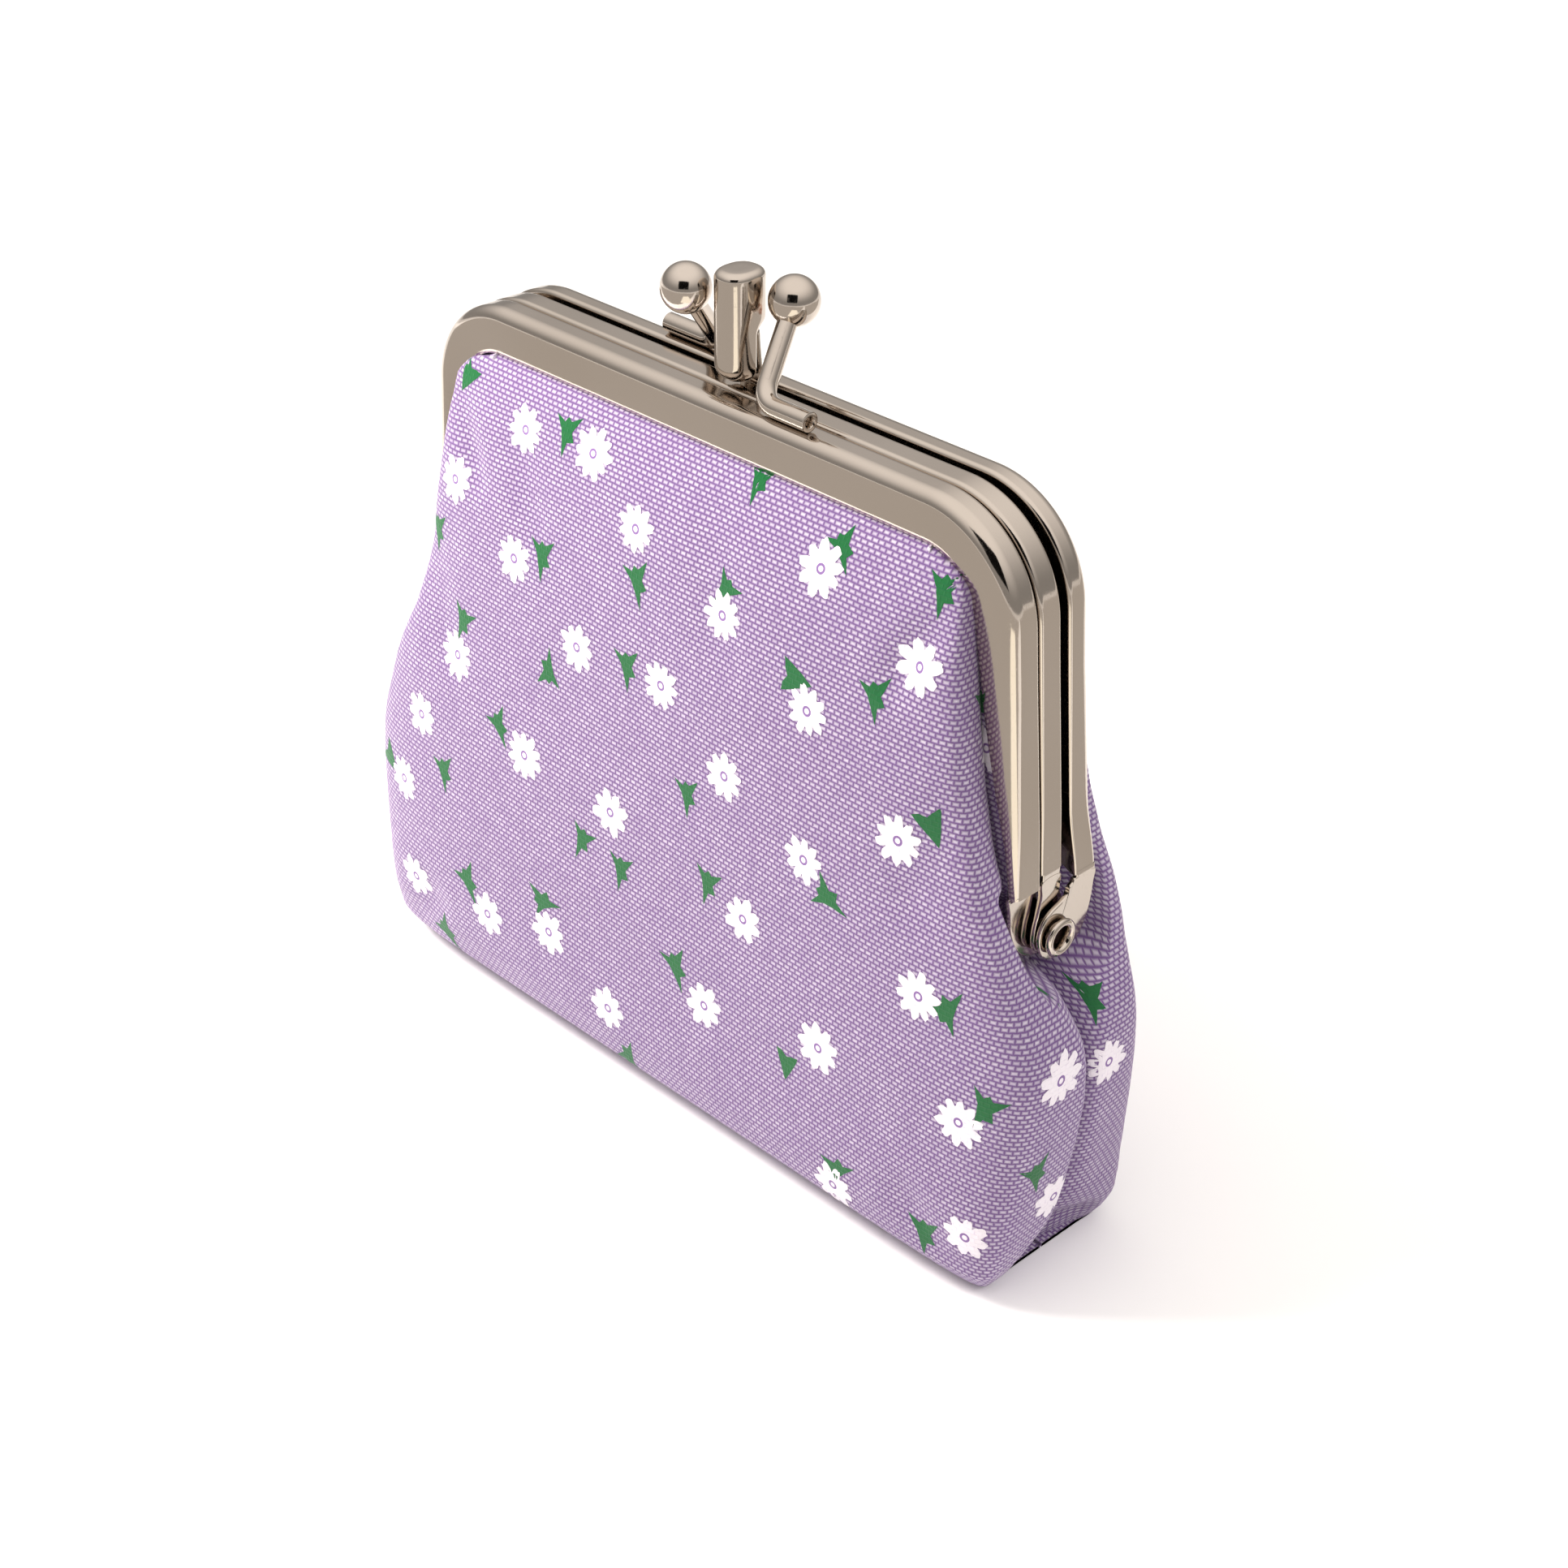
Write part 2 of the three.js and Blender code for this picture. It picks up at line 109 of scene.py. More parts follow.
def make_object(name, points, faces, material, uv=None, smooth=True):
    """A mesh object from points in millimetres. uv gives one pair per point, also in millimetres."""
    mesh = bpy.data.meshes.new(name)
    mesh.from_pydata([tuple(float(c) * MM for c in p) for p in points], [], [tuple(f) for f in faces])
    if uv is not None:
        layer = mesh.uv_layers.new(name="cloth_mm")
        corners = np.zeros(len(mesh.loops), np.int32)
        mesh.loops.foreach_get("vertex_index", corners)
        layer.data.foreach_set("uv", np.asarray(uv, np.float32)[corners].ravel())
    mesh.polygons.foreach_set("use_smooth", [smooth] * len(mesh.polygons))
    mesh.update()
    mesh.materials.append(material)
    return in_scene(name, mesh)


def tidy_normals(obj, sharp):
    """Faces point outward, and only real corners stay sharp."""
    work = bmesh.new()
    work.from_mesh(obj.data)
    bmesh.ops.remove_doubles(work, verts=work.verts, dist=1e-6)
    bmesh.ops.recalc_face_normals(work, faces=work.faces)
    for edge in work.edges:
        edge.smooth = not (len(edge.link_faces) == 2 and edge.calc_face_angle(0) > math.radians(sharp))
    work.to_mesh(obj.data)
    work.free()


def fitted(made, node, body=None, sharp=50):
    """Puts a finished piece in its CAD node's place. Folds over the sharp angle keep a hard edge."""
    if sharp:
        tidy_normals(made, sharp)
    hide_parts(node)
    if body:
        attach(made, body)


def point_values(obj, name, values):
    """A number for each point of a mesh, for its material to read."""
    attribute = obj.data.attributes.new(name, "FLOAT", "POINT")
    attribute.data.foreach_set("value", np.asarray(values, np.float32))


def strip_faces(rows, columns, closed=False):
    """Quads of a grid of points; closed joins the last column to the first."""
    across = columns if closed else columns - 1
    return [(r * columns + c, r * columns + (c + 1) % columns,
             (r + 1) * columns + (c + 1) % columns, (r + 1) * columns + c)
            for r in range(rows - 1) for c in range(across)]


def sheet_solid(outer, inner):
    """Points and faces of a sheet that lies between two grids of points of one size."""
    rows, columns = outer.shape[:2]
    count = rows * columns
    faces = strip_faces(rows, columns)
    faces += [tuple(count + i for i in reversed(f)) for f in faces]
    ids = np.arange(count).reshape(rows, columns)
    ids = [int(i) for i in (*ids[0], *ids[1:, -1], *ids[-1, -2::-1], *ids[-2:0:-1, 0])]
    faces += [(a, b, count + b, count + a) for a, b in zip(ids, ids[1:] + ids[:1])]
    return np.concatenate([outer.reshape(-1, 3), inner.reshape(-1, 3)]), faces


def loft(rings, loop=False):
    """Points and faces of a tube through rings of one size, its ends capped or joined in a loop."""
    rings = [np.asarray(r, float) for r in rings]
    count = len(rings[0])
    points = np.concatenate(rings)
    faces = strip_faces(len(rings), count, closed=True)
    if loop:
        last = (len(rings) - 1) * count
        faces += [(last + c, last + (c + 1) % count, (c + 1) % count, c) for c in range(count)]
    else:
        faces.append(tuple(reversed(range(count))))
        faces.append(tuple(range(len(points) - count, len(points))))
    return points, faces


def merged(parts):
    """Several sets of points and faces as one."""
    points, faces, first = [], [], 0
    for some_points, some_faces in parts:
        points.append(np.asarray(some_points, float))
        faces += [tuple(first + i for i in f) for f in some_faces]
        first += len(some_points)
    return np.concatenate(points), faces


def lathe(profile, centre, axis, steps=72):
    """Rings of points turned about an axis through centre. profile has (radius, along) pairs."""
    axis = np.asarray(axis, float)
    side = np.array([0.0, 1.0, 0.0]) if abs(axis[1]) < 0.9 else np.array([0.0, 0.0, 1.0])
    side = side - axis * (side @ axis)
    side /= np.linalg.norm(side)
    other = np.cross(axis, side)
    return [[centre + axis * a + r * (side * cos + other * sin) for cos, sin in circle(steps)]
            for r, a in profile]


def eased(at, levels, values, span=3.0):
    """A profile given at a few levels, read off smoothly."""
    fine = np.arange(levels[0] - 4 * span, levels[-1] + 4 * span, 0.1)
    rough = np.interp(fine, levels, values)
    reach = int(span / 0.1)
    window = np.hanning(2 * reach + 3)
    padded = np.concatenate([np.full(reach + 1, rough[0]), rough, np.full(reach + 1, rough[-1])])
    return np.interp(at, fine, np.convolve(padded, window / window.sum(), "valid"))


def bump(x, centre, width):
    """A soft hill of height 1."""
    return np.exp(-(((x - centre) / width) ** 2))


def ramp(x, start, end):
    """Goes from 0 at start to 1 at end, and stays level outside them."""
    return np.clip((x - start) / (end - start), 0, 1)


def smooth_step(share):
    """A share from 0 to 1 that starts and stops gently."""
    return share * share * (3 - 2 * share)


def round_bend(start, corner, end, count):
    """Points of a bend from start to end that is pulled toward the corner."""
    s = np.linspace(0, 1, count)[:, None]
    return (1 - s) ** 2 * start + 2 * s * (1 - s) * corner + s * s * end


def circle(count):
    """Cosine and sine round one full turn."""
    turns = np.linspace(0, 2 * math.pi, count, endpoint=False)
    return np.stack([np.cos(turns), np.sin(turns)], 1)


# ---- materials

def linear(hex_colour):
    """An sRGB hex colour as linear values."""
    channels = [int(hex_colour[i:i + 2], 16) / 255 for i in (1, 3, 5)]
    return tuple(c / 12.92 if c <= 0.04045 else ((c + 0.055) / 1.055) ** 2.4 for c in channels) + (1.0,)


def add(tree, kind, inputs=None, **settings):
    """Adds a node with its settings. inputs gives each input a value, an output, or a node whose
    first output it takes."""
    node = tree.nodes.new("ShaderNode" + kind)
    for key, value in settings.items():
        setattr(node, key, value)
    for key, value in (inputs or {}).items():
        if isinstance(value, bpy.types.Node):
            value = value.outputs[0]
        if isinstance(value, bpy.types.NodeSocket):
            tree.links.new(value, node.inputs[key])
        else:
            node.inputs[key].default_value = value
    return node


def ramp_stops(node, *stops):
    """Sets a colour ramp's stops, as (position, grey or colour)."""
    elements = node.color_ramp.elements
    while len(elements) < len(stops):
        elements.new(0.5)
    for element, (position, colour) in zip(elements, stops):
        element.position = position
        element.color = colour if not isinstance(colour, (int, float)) else (colour,) * 3 + (1,)
    return node.outputs["Color"]


def new_material(name):
    """An empty material and its node tree."""
    material = bpy.data.materials.new(name)
    material.use_nodes = True
    material.node_tree.nodes.clear()
    return material, material.node_tree


def finished(material, shader):
    """The material with its shader joined to its surface."""
    add(material.node_tree, "OutputMaterial", {"Surface": shader})
    return material


def nickel_plate(name):
    """Bright nickel on stamped steel: soft waves from the press, faint rub marks, and copper
    showing where the balls have worn the plate."""
    material, tree = new_material(name)
    place = add(tree, "TexCoord").outputs["Object"]
    waves = add(tree, "TexNoise", {"Vector": place, "Scale": 55.0, "Detail": 1.0})
    grain = add(tree, "TexNoise", {"Vector": place, "Scale": 1400.0, "Detail": 3.0})
    stretch = add(tree, "Mapping", {"Vector": place, "Scale": (300.0, 5200.0, 2600.0),
        "Rotation": (0.3, 0.2, 0.5)})
    hairs = add(tree, "TexNoise", {"Vector": stretch, "Scale": 1.0, "Detail": 2.0})
    marks = ramp_stops(add(tree, "ValToRGB", {"Fac": hairs}), (0.60, 0), (0.74, 1))
    worn = add(tree, "Attribute", attribute_name="wear")
    edge = add(tree, "Math", {0: worn.outputs["Fac"], 1: grain}, operation="MULTIPLY")
    copper = ramp_stops(add(tree, "ValToRGB", {"Fac": edge}), (0.24, 0), (0.36, 1))
    tone = add(tree, "Mix", {"Factor": waves, "A": linear("#c3b8ac"), "B": linear("#cfc5bc")},
        data_type="RGBA")
    colour = add(tree, "Mix", {"Factor": copper, "A": tone.outputs["Result"],
        "B": linear("#9a6a52")}, data_type="RGBA")
    rough = add(tree, "MapRange", {"Value": marks, "To Min": 0.1, "To Max": 0.22})
    more = add(tree, "Math", {0: copper, 1: 0.14, 2: rough}, operation="MULTIPLY_ADD")
    soft = add(tree, "Bump", {"Height": waves, "Strength": 0.25, "Distance": 0.0006})
    fine = add(tree, "Bump", {"Height": grain, "Strength": 0.04, "Distance": 0.00005, "Normal": soft})
    shader = add(tree, "BsdfPrincipled", {"Base Color": colour.outputs["Result"], "Metallic": 1.0,
        "Roughness": more, "Normal": fine})
    return finished(material, shader)


# The canvas repeats over two warp threads across and one doubled weft thread up, in millimetres.
WEAVE_REPEAT = {"Scale": 1.0, "Mortar Smooth": 1.0, "Brick Width": 0.9, "Row Height": 0.6}


def oxford_canvas(name, warp, weft):
    """Oxford canvas: fine lilac warp over doubled white weft, so the weft shows as rows of white
    dots in a brick pattern, with a slub here and there and a soft sheen."""
    material, tree = new_material(name)
    cloth = add(tree, "UVMap", uv_map="cloth_mm")
    wobble = add(tree, "TexNoise", {"Vector": cloth, "Scale": 0.35, "Detail": 2.0})
    shift = add(tree, "VectorMath", {0: wobble.outputs["Color"], 1: (0.25, 0.18, 0.0), 2: cloth},
        operation="MULTIPLY_ADD")
    dots = add(tree, "TexBrick", {"Vector": shift, "Color1": (1, 1, 1, 1),
        "Color2": (0.74, 0.74, 0.74, 1), "Mortar": (0, 0, 0, 1),
        "Mortar Size": 0.27, "Bias": 0.1, **WEAVE_REPEAT})
    along = add(tree, "Mapping", {"Vector": cloth, "Scale": (0.12, 1.6, 1.0)})
    streak = add(tree, "TexNoise", {"Vector": along, "Scale": 1.0, "Detail": 3.0})
    upright = add(tree, "Mapping", {"Vector": cloth, "Scale": (1.3, 0.1, 1.0)})
    stripe = add(tree, "TexNoise", {"Vector": upright, "Scale": 1.0, "Detail": 3.0})
    speck = add(tree, "TexNoise", {"Vector": cloth, "Scale": 1.1, "Detail": 3.0, "Roughness": 0.7})
    slub = ramp_stops(add(tree, "ValToRGB", {"Fac": speck}), (0.66, 0), (0.76, 1))
    uneven = add(tree, "Math", {0: streak, 1: stripe}, operation="ADD")
    lift = add(tree, "MapRange", {"Value": uneven, "From Min": 0.7, "From Max": 1.3, "To Min": 0.68,
        "To Max": 0.92})
    share = add(tree, "Math", {0: dots.outputs["Color"], 1: lift}, operation="MULTIPLY")
    whiter = add(tree, "Math", {0: slub, 1: 0.35, 2: share}, operation="MULTIPLY_ADD", use_clamp=True)
    colour = add(tree, "Mix", {"Factor": whiter, "A": linear(warp), "B": linear(weft)},
        data_type="RGBA")
    relief = add(tree, "Bump", {"Height": dots.outputs["Color"], "Strength": 0.5, "Distance": 0.00018})
    lumps = add(tree, "Bump", {"Height": speck, "Strength": 0.3, "Distance": 0.0001, "Normal": relief})
    shader = add(tree, "BsdfPrincipled", {"Base Color": colour.outputs["Result"], "Roughness": 0.72,
        "Sheen Weight": 0.35, "Sheen Roughness": 0.35, "Sheen Tint": linear("#f6ecff"),
        "Specular IOR Level": 0.3, "Normal": lumps})
    return finished(material, shader)


def pigment_print(name, colour, thin):
    """Pigment screen-printed on the canvas: the paste lies on the high threads, so the weave shows
    through it as faint dots and its edge is a little ragged."""
    material, tree = new_material(name)
    cloth = add(tree, "UVMap", uv_map="cloth_mm")
    threads = add(tree, "TexBrick", {"Vector": cloth, "Color1": (1, 1, 1, 1),
        "Color2": (0.8, 0.8, 0.8, 1), "Mortar": (0, 0, 0, 1), "Mortar Size": 0.13, **WEAVE_REPEAT})
    blotch = add(tree, "TexNoise", {"Vector": cloth, "Scale": 1.6, "Detail": 4.0, "Roughness": 0.7})
    cover = add(tree, "Math", {0: threads.outputs["Color"], 1: 0.25, 2: blotch},
        operation="MULTIPLY_ADD")
    fill = ramp_stops(add(tree, "ValToRGB", {"Fac": cover}), (0.36, 0), (0.56, 1))
    tone = add(tree, "Mix", {"Factor": fill, "A": linear(thin), "B": linear(colour)}, data_type="RGBA")
    relief = add(tree, "Bump", {"Height": threads.outputs["Color"], "Strength": 0.3,
        "Distance": 0.00012})
    shader = add(tree, "BsdfPrincipled", {"Base Color": tone.outputs["Result"], "Roughness": 0.8,
        "Sheen Weight": 0.15, "Normal": relief})
    return finished(material, shader)


def plain_cotton(name, colour, shade):
    """Plain-woven lining cotton: square weave, matt, with soft creases."""
    material, tree = new_material(name)
    cloth = add(tree, "UVMap", uv_map="cloth_mm")
    across = add(tree, "TexWave", {"Vector": cloth, "Scale": 0.62, "Distortion": 0.6},
        bands_direction="X")
    down = add(tree, "TexWave", {"Vector": cloth, "Scale": 0.62, "Distortion": 0.6},
        bands_direction="Y")
    weave = add(tree, "Math", {0: across.outputs["Fac"], 1: down.outputs["Fac"]}, operation="MULTIPLY")
    soft = add(tree, "TexNoise", {"Vector": cloth, "Scale": 0.12, "Detail": 3.0})
    tone = add(tree, "Mix", {"Factor": weave, "A": linear(shade), "B": linear(colour)},
        data_type="RGBA")
    threads = add(tree, "Bump", {"Height": weave, "Strength": 0.3, "Distance": 0.0001})
    creases = add(tree, "Bump", {"Height": soft, "Strength": 0.4, "Distance": 0.001, "Normal": threads})
    shader = add(tree, "BsdfPrincipled", {"Base Color": tone.outputs["Result"], "Roughness": 0.85,
        "Sheen Weight": 0.2, "Normal": creases})
    return finished(material, shader)


def needled_felt(name):
    """Needle-punched interlining felt: matted fibres with no thread direction."""
    material, tree = new_material(name)
    cloth = add(tree, "UVMap", uv_map="cloth_mm")
    fibres = add(tree, "TexNoise", {"Vector": cloth, "Scale": 2.2, "Detail": 6.0, "Roughness": 0.8})
    tone = add(tree, "Mix", {"Factor": fibres, "A": linear("#d9d5ca"), "B": linear("#f4f1ea")},
        data_type="RGBA")
    fuzz = add(tree, "Bump", {"Height": fibres, "Strength": 0.6, "Distance": 0.0002})
    shader = add(tree, "BsdfPrincipled", {"Base Color": tone.outputs["Result"], "Roughness": 0.95,
        "Sheen Weight": 0.4, "Normal": fuzz})
    return finished(material, shader)


def twisted_paper(name):
    """Twisted kraft paper cord: slanting plies, with painted shade darkening the creases between them."""
    material, tree = new_material(name)
    cord = add(tree, "UVMap", uv_map="cloth_mm")
    plies = add(tree, "TexWave", {"Vector": cord, "Scale": 0.35, "Distortion": 1.2, "Detail": 2.0},
        bands_direction="DIAGONAL")
    # The darker colour in the creases between the plies is painted shade.
    tone = add(tree, "Mix", {"Factor": plies.outputs["Fac"], "A": linear("#96805c"),
        "B": linear("#d2c09e")}, data_type="RGBA")
    ridges = add(tree, "Bump", {"Height": plies.outputs["Fac"], "Strength": 0.7, "Distance": 0.0003})
    shader = add(tree, "BsdfPrincipled", {"Base Color": tone.outputs["Result"], "Roughness": 0.9,
        "Normal": ridges})
    return finished(material, shader)


def painted_floor(name):
    """A pale painted studio floor, with the least mottling."""
    material, tree = new_material(name)
    place = add(tree, "TexCoord").outputs["Object"]
    mottle = add(tree, "TexNoise", {"Vector": place, "Scale": 6.0, "Detail": 4.0})
    tone = add(tree, "Mix", {"Factor": mottle, "A": linear("#fbfaf9"), "B": linear("#ffffff")},
        data_type="RGBA")
    shader = add(tree, "BsdfPrincipled", {"Base Color": tone.outputs["Result"], "Roughness": 0.9})
    return finished(material, shader)


def studio_card(name, colour, glow):
    """Matt card or lit fabric that stands beside the table for the metal to mirror."""
    material, tree = new_material(name)
    return finished(material, add(tree, "Emission", {"Color": linear(colour), "Strength": glow}))


NICKEL = nickel_plate("nickel_plated_steel")
CANVAS = oxford_canvas("daisy_print_oxford_canvas", "#684a7f", "#cfc7d4")
WHITE_PRINT = pigment_print("white_daisy_pigment", "#e2dbe3", "#cfc3d5")
GREEN_PRINT = pigment_print("green_sprig_pigment", "#005c2a", "#035a32")
RING_PRINT = pigment_print("violet_ring_pigment", "#80609a", "#8a6ba0")
COTTON = plain_cotton("lilac_lining_cotton", "#e6deea", "#cbbfd2")
FELT = needled_felt("interlining_felt")
PAPER = twisted_paper("twisted_paper_cord")


# ---- the arches' line

def leg_x(z, inset=0.0):
    """Half width of an arch's leg at a height, moved in by an inset."""
    return TOP_HALF_WIDTH + LEG_SPLAY * (FRAME_TOP - z) - inset * SLANT


def arch_half_width(z, inset):
    """Half width inside an arch at a height, moved in by an inset."""
    z = np.asarray(z, float)
    r = CORNER_R - inset
    rise = np.clip(z - CORNER_Z, 0, None)
    in_corner = CORNER_X + np.sqrt(np.clip(r * r - rise * rise, 0, None))
    return np.where(rise > 0, in_corner, leg_x(z, inset))


def arch_stations(leg_end, spacing=1.2):
    """Places along the right half of an arch's outer line, with the direction into the arch."""
    inward_leg = np.array([-1, -LEG_SPLAY]) / SLANT
    stations = [((leg_x(z), z), inward_leg) for z in np.arange(leg_end, CORNER_Z, spacing)]
    for angle in np.linspace(math.atan(LEG_SPLAY), math.pi / 2, 26):
        out = np.array([math.cos(angle), math.sin(angle)])
        stations.append((tuple(np.array([CORNER_X, CORNER_Z]) + CORNER_R * out), -out))
    for x in np.linspace(CORNER_X, 0, 20)[1:]:
        stations.append(((x, FRAME_TOP), np.array([0.0, -1.0])))
    return stations


def channel_section(near, far, lip_near, lip_far, round_near, round_far):
    """The closed outline of a folded channel as (inset, y) pairs. lip_near and lip_far are how far
    the two walls reach in, and each round is the shoulder's reach in from the web and along it."""
    reach_near = min(round_near[0], lip_near * 0.8)
    reach_far = min(round_far[0], lip_far * 0.8)
    along_near = round_near[1] * min(1.0, reach_near / round_near[0] + 0.15)
    along_far = round_far[1] * min(1.0, reach_far / round_far[0] + 0.15)
    outer = []
    for share in (1.0, 0.97, 0.8, 0.55, 0.3, 0.1):
        inset = reach_near + (lip_near - reach_near) * share
        crown = 0.10 * (1 - (2 * share - 1) ** 2) * min(1, lip_near / CHANNEL)
        outer.append((inset, near - crown + 0.1 * (share > 0.98)))
    for turn in np.linspace(0, math.pi / 2, 9):
        outer.append((reach_near * (1 - math.sin(turn)), near + along_near * (1 - math.cos(turn))))
    middle = near + along_near
    rest = far - along_far - middle
    outer += [(0.0, middle + rest * share) for share in (0.06, 0.5, 0.94)]
    for turn in np.linspace(0, math.pi / 2, 7):
        outer.append((reach_far * (1 - math.cos(turn)), far - along_far * (1 - math.sin(turn))))
    for share in (0.1, 0.45, 0.8, 0.97, 1.0):
        outer.append((reach_far + (lip_far - reach_far) * share, far - 0.08 * (share > 0.98)))
    outer = np.array(outer)
    heading = np.gradient(outer, axis=0)
    heading /= np.linalg.norm(heading, axis=1)[:, None] + 1e-9
    into = np.stack([-heading[:, 1], heading[:, 0]], 1)
    if (into[len(into) // 2] @ np.array([1.0, 0.0])) < 0:
        into = -into
    inner = outer + into * (SHEET - 0.06)
    inner[0] = outer[0] + np.array([-0.02, SHEET - 0.12])
    inner[-1] = outer[-1] + np.array([-0.02, -(SHEET - 0.12)])
    return np.concatenate([outer, inner[::-1]])


def channel_ring(place, inward, section):
    """A channel's outline at one place along the arch."""
    (x, z), (nx, nz) = place, inward
    return np.stack([x + section[:, 0] * nx, section[:, 1], z + section[:, 0] * nz], 1)


# How far the outer wall of a channel reaches in, going down the leg: it is cut away to the hinge.
WALL_LEVELS = [48, 50, 52, 55, 58, 62, 66, 70, 76, 81, 95]
WALL_REACH = [0.9, 1.15, 1.3, 1.6, 2.2, 3.0, 3.7, 4.3, 5.0, 5.5, 5.5]


def neck_rings(near, far, leg_end, plane, drift):
    """The strip that runs on from the web and steps into the tab's plane."""
    rings = []
    for z in np.linspace(leg_end - 0.9, leg_end + 0.35, 9):
        step = smooth_step(ramp(z, leg_end + 0.3, leg_end - 0.8))
        x = (leg_x(z) + drift) * (1 - step) + (plane + FACE) * step
        section = channel_section(near + 0.22, far - 0.22, 0.58, 0.58, (0.12, 0.12), (0.12, 0.12))
        rings.append(channel_ring((x, z), np.array([-1.0, 0.0]), section))
    return rings


RIVET_HOLE = 1.62
# A tab's outline round its rivet, as (depth, height above the rivet). The wide one is the rear arch's.
WIDE_TAB = [
    (5.78, 6.2), (5.75, 4.5), (5.35, 1.4), (4.35, -0.9), (2.9, -2.35), (1.0, -2.95), (-1.0, -2.75),
    (-2.35, -1.6), (-2.85, 0.2), (-2.45, 2.0), (-1.2, 3.3), (0.6, 4.0), (1.6, 4.6), (1.75, 5.3),
    (2.3, 5.75), (2.82, 6.2)]
NARROW_TAB = [
    (1.1, 7.2), (1.15, 5.2), (1.9, 3.2), (2.55, 1.2), (2.6, -0.6), (1.9, -1.9), (0.7, -2.55),
    (-0.7, -2.55), (-1.9, -1.9), (-2.6, -0.6), (-2.55, 1.2), (-2.1, 3.2), (-1.7, 5.2), (-1.65, 7.2)]


def tab_plate(outline, plane):
    """A flat tab with a round hole for the rivet and softly rounded edges."""
    outline = np.array(outline, float)
    count = len(outline)
    smooth = []
    for k in range(count):
        p0, p1, p2, p3 = (outline[(k + i - 1) % count] for i in range(4))
        for t in np.linspace(0, 1, 8, endpoint=False):
            smooth.append(0.5 * (2 * p1 + (p2 - p0) * t + (2 * p0 - 5 * p1 + 4 * p2 - p3) * t * t
                                 + (3 * p1 - p0 - 3 * p2 + p3) * t ** 3))
    edge = np.array(smooth)
    reach = np.linalg.norm(edge, axis=1)[:, None]
    out = edge / reach
    lines = [(edge, 0.12), (edge - out * 0.12, 0.0), (edge - out * 0.2, 0.0),
             (out * (RIVET_HOLE + 0.2), 0.0), (out * (RIVET_HOLE + 0.1), 0.0), (out * RIVET_HOLE, 0.1)]
    lines += [(line, SHEET - x) for line, x in lines[::-1]]
    rings = [np.column_stack([np.full(len(line), plane + x), line[:, 0], HINGE_Z + line[:, 1]])
             for line, x in lines]
    return loft(rings, loop=True)


def mirror_x(points, faces):
    """The same piece on the other side."""
    flipped = np.array(points, float) * [-1, 1, 1]
    return flipped, [tuple(reversed(f)) for f in faces]


def stamped_arch(name, node, body, near, far, leg_end, plane, rounds, walls, outline):
    """One arch: a folded channel bent round two corners, with a hinge tab at each foot. rounds and
    walls give the shoulder and whether the wall is cut away, first for the near wall."""
    half = []
    drift = max(plane + FACE - leg_x(leg_end), -0.15)
    for place, inward in arch_stations(leg_end):
        z = place[1]
        place = (place[0] + drift * smooth_step(ramp(z, leg_end + 8, leg_end)), z)
        thin = np.interp(z, [50, 60, 74], [0.35, 0.7, 1.0])
        rounding = [(reach * thin, along * thin) for reach, along in rounds]
        cut = np.interp(z, WALL_LEVELS, WALL_REACH)
        plain = 0.7 + (CHANNEL - 0.7) * ramp(z, leg_end, leg_end + 4) ** 0.7
        lips = [cut if shaped else plain for shaped in walls]
        section = channel_section(near, far, *lips, *rounding)
        half.append(channel_ring(place, inward, section))
    right = neck_rings(near, far, leg_end, plane, drift) + half
    left = [ring * [-1, 1, 1] for ring in right[:-1]][::-1]
    tab = tab_plate(outline, plane)
    shape = merged([loft(right + left), tab, mirror_x(*tab)])
    fitted(make_object(name, *shape, NICKEL), node, body)


SOFT_SHOULDER = (1.7, 1.6)
TIGHT_FOLD = (0.55, 0.55)


def build_arches():
    stamped_arch("front_arch_channel", "front_frame", "front_arch", FRONT_LOW[1], -2.2, 50, 47.6,
                 (SOFT_SHOULDER, TIGHT_FOLD), (True, False), [(-y, z) for y, z in WIDE_TAB[::-1]])
    stamped_arch("middle_arch_channel", "middle_frame", "bag", -1.9, 1.3, 51.5, 48.55,
                 (TIGHT_FOLD, TIGHT_FOLD), (False, False), NARROW_TAB)
    stamped_arch("rear_arch_channel", "rear_frame", "rear_arch", 2.6, REAR_HIGH[1], 50, 49.5,
                 (TIGHT_FOLD, SOFT_SHOULDER), (False, True), WIDE_TAB)


# ---- hinge rivets

# A rivet's rolled rim: radius, and how far behind the rivet's end.
ROLLED_RIM = [
    (1.5, 0.75), (2.0, 0.75), (2.24, 0.62), (2.3, 0.42), (2.22, 0.2), (2.02, 0.05), (1.8, 0),
    (1.58, 0.06), (1.42, 0.25), (1.32, 0.6), (1.22, 1.1)]


def build_rivets():
    """A hollow rivet at each side, its ends rolled over into round rims."""
    for side, name in ((1, "right"), (-1, "left")):
        low, high = box_mm(f"{name}_hinge_rivet")
        inner, outer = sorted((abs(low[0]), abs(high[0])))
        outer_end = [(r, outer - back) for r, back in ROLLED_RIM]
        inner_end = [(r, inner + back) for r, back in ROLLED_RIM[::-1]]
        rings = lathe(outer_end + inner_end, np.array([0, 0, HINGE_Z]), (1, 0, 0), 64)
        points, faces = loft(rings, loop=True)
        made = make_object(f"{name}_hollow_rivet", points * [side, 1, 1], faces, NICKEL)
        fitted(made, f"{name}_hinge_rivet", "bag")


# ---- clasp

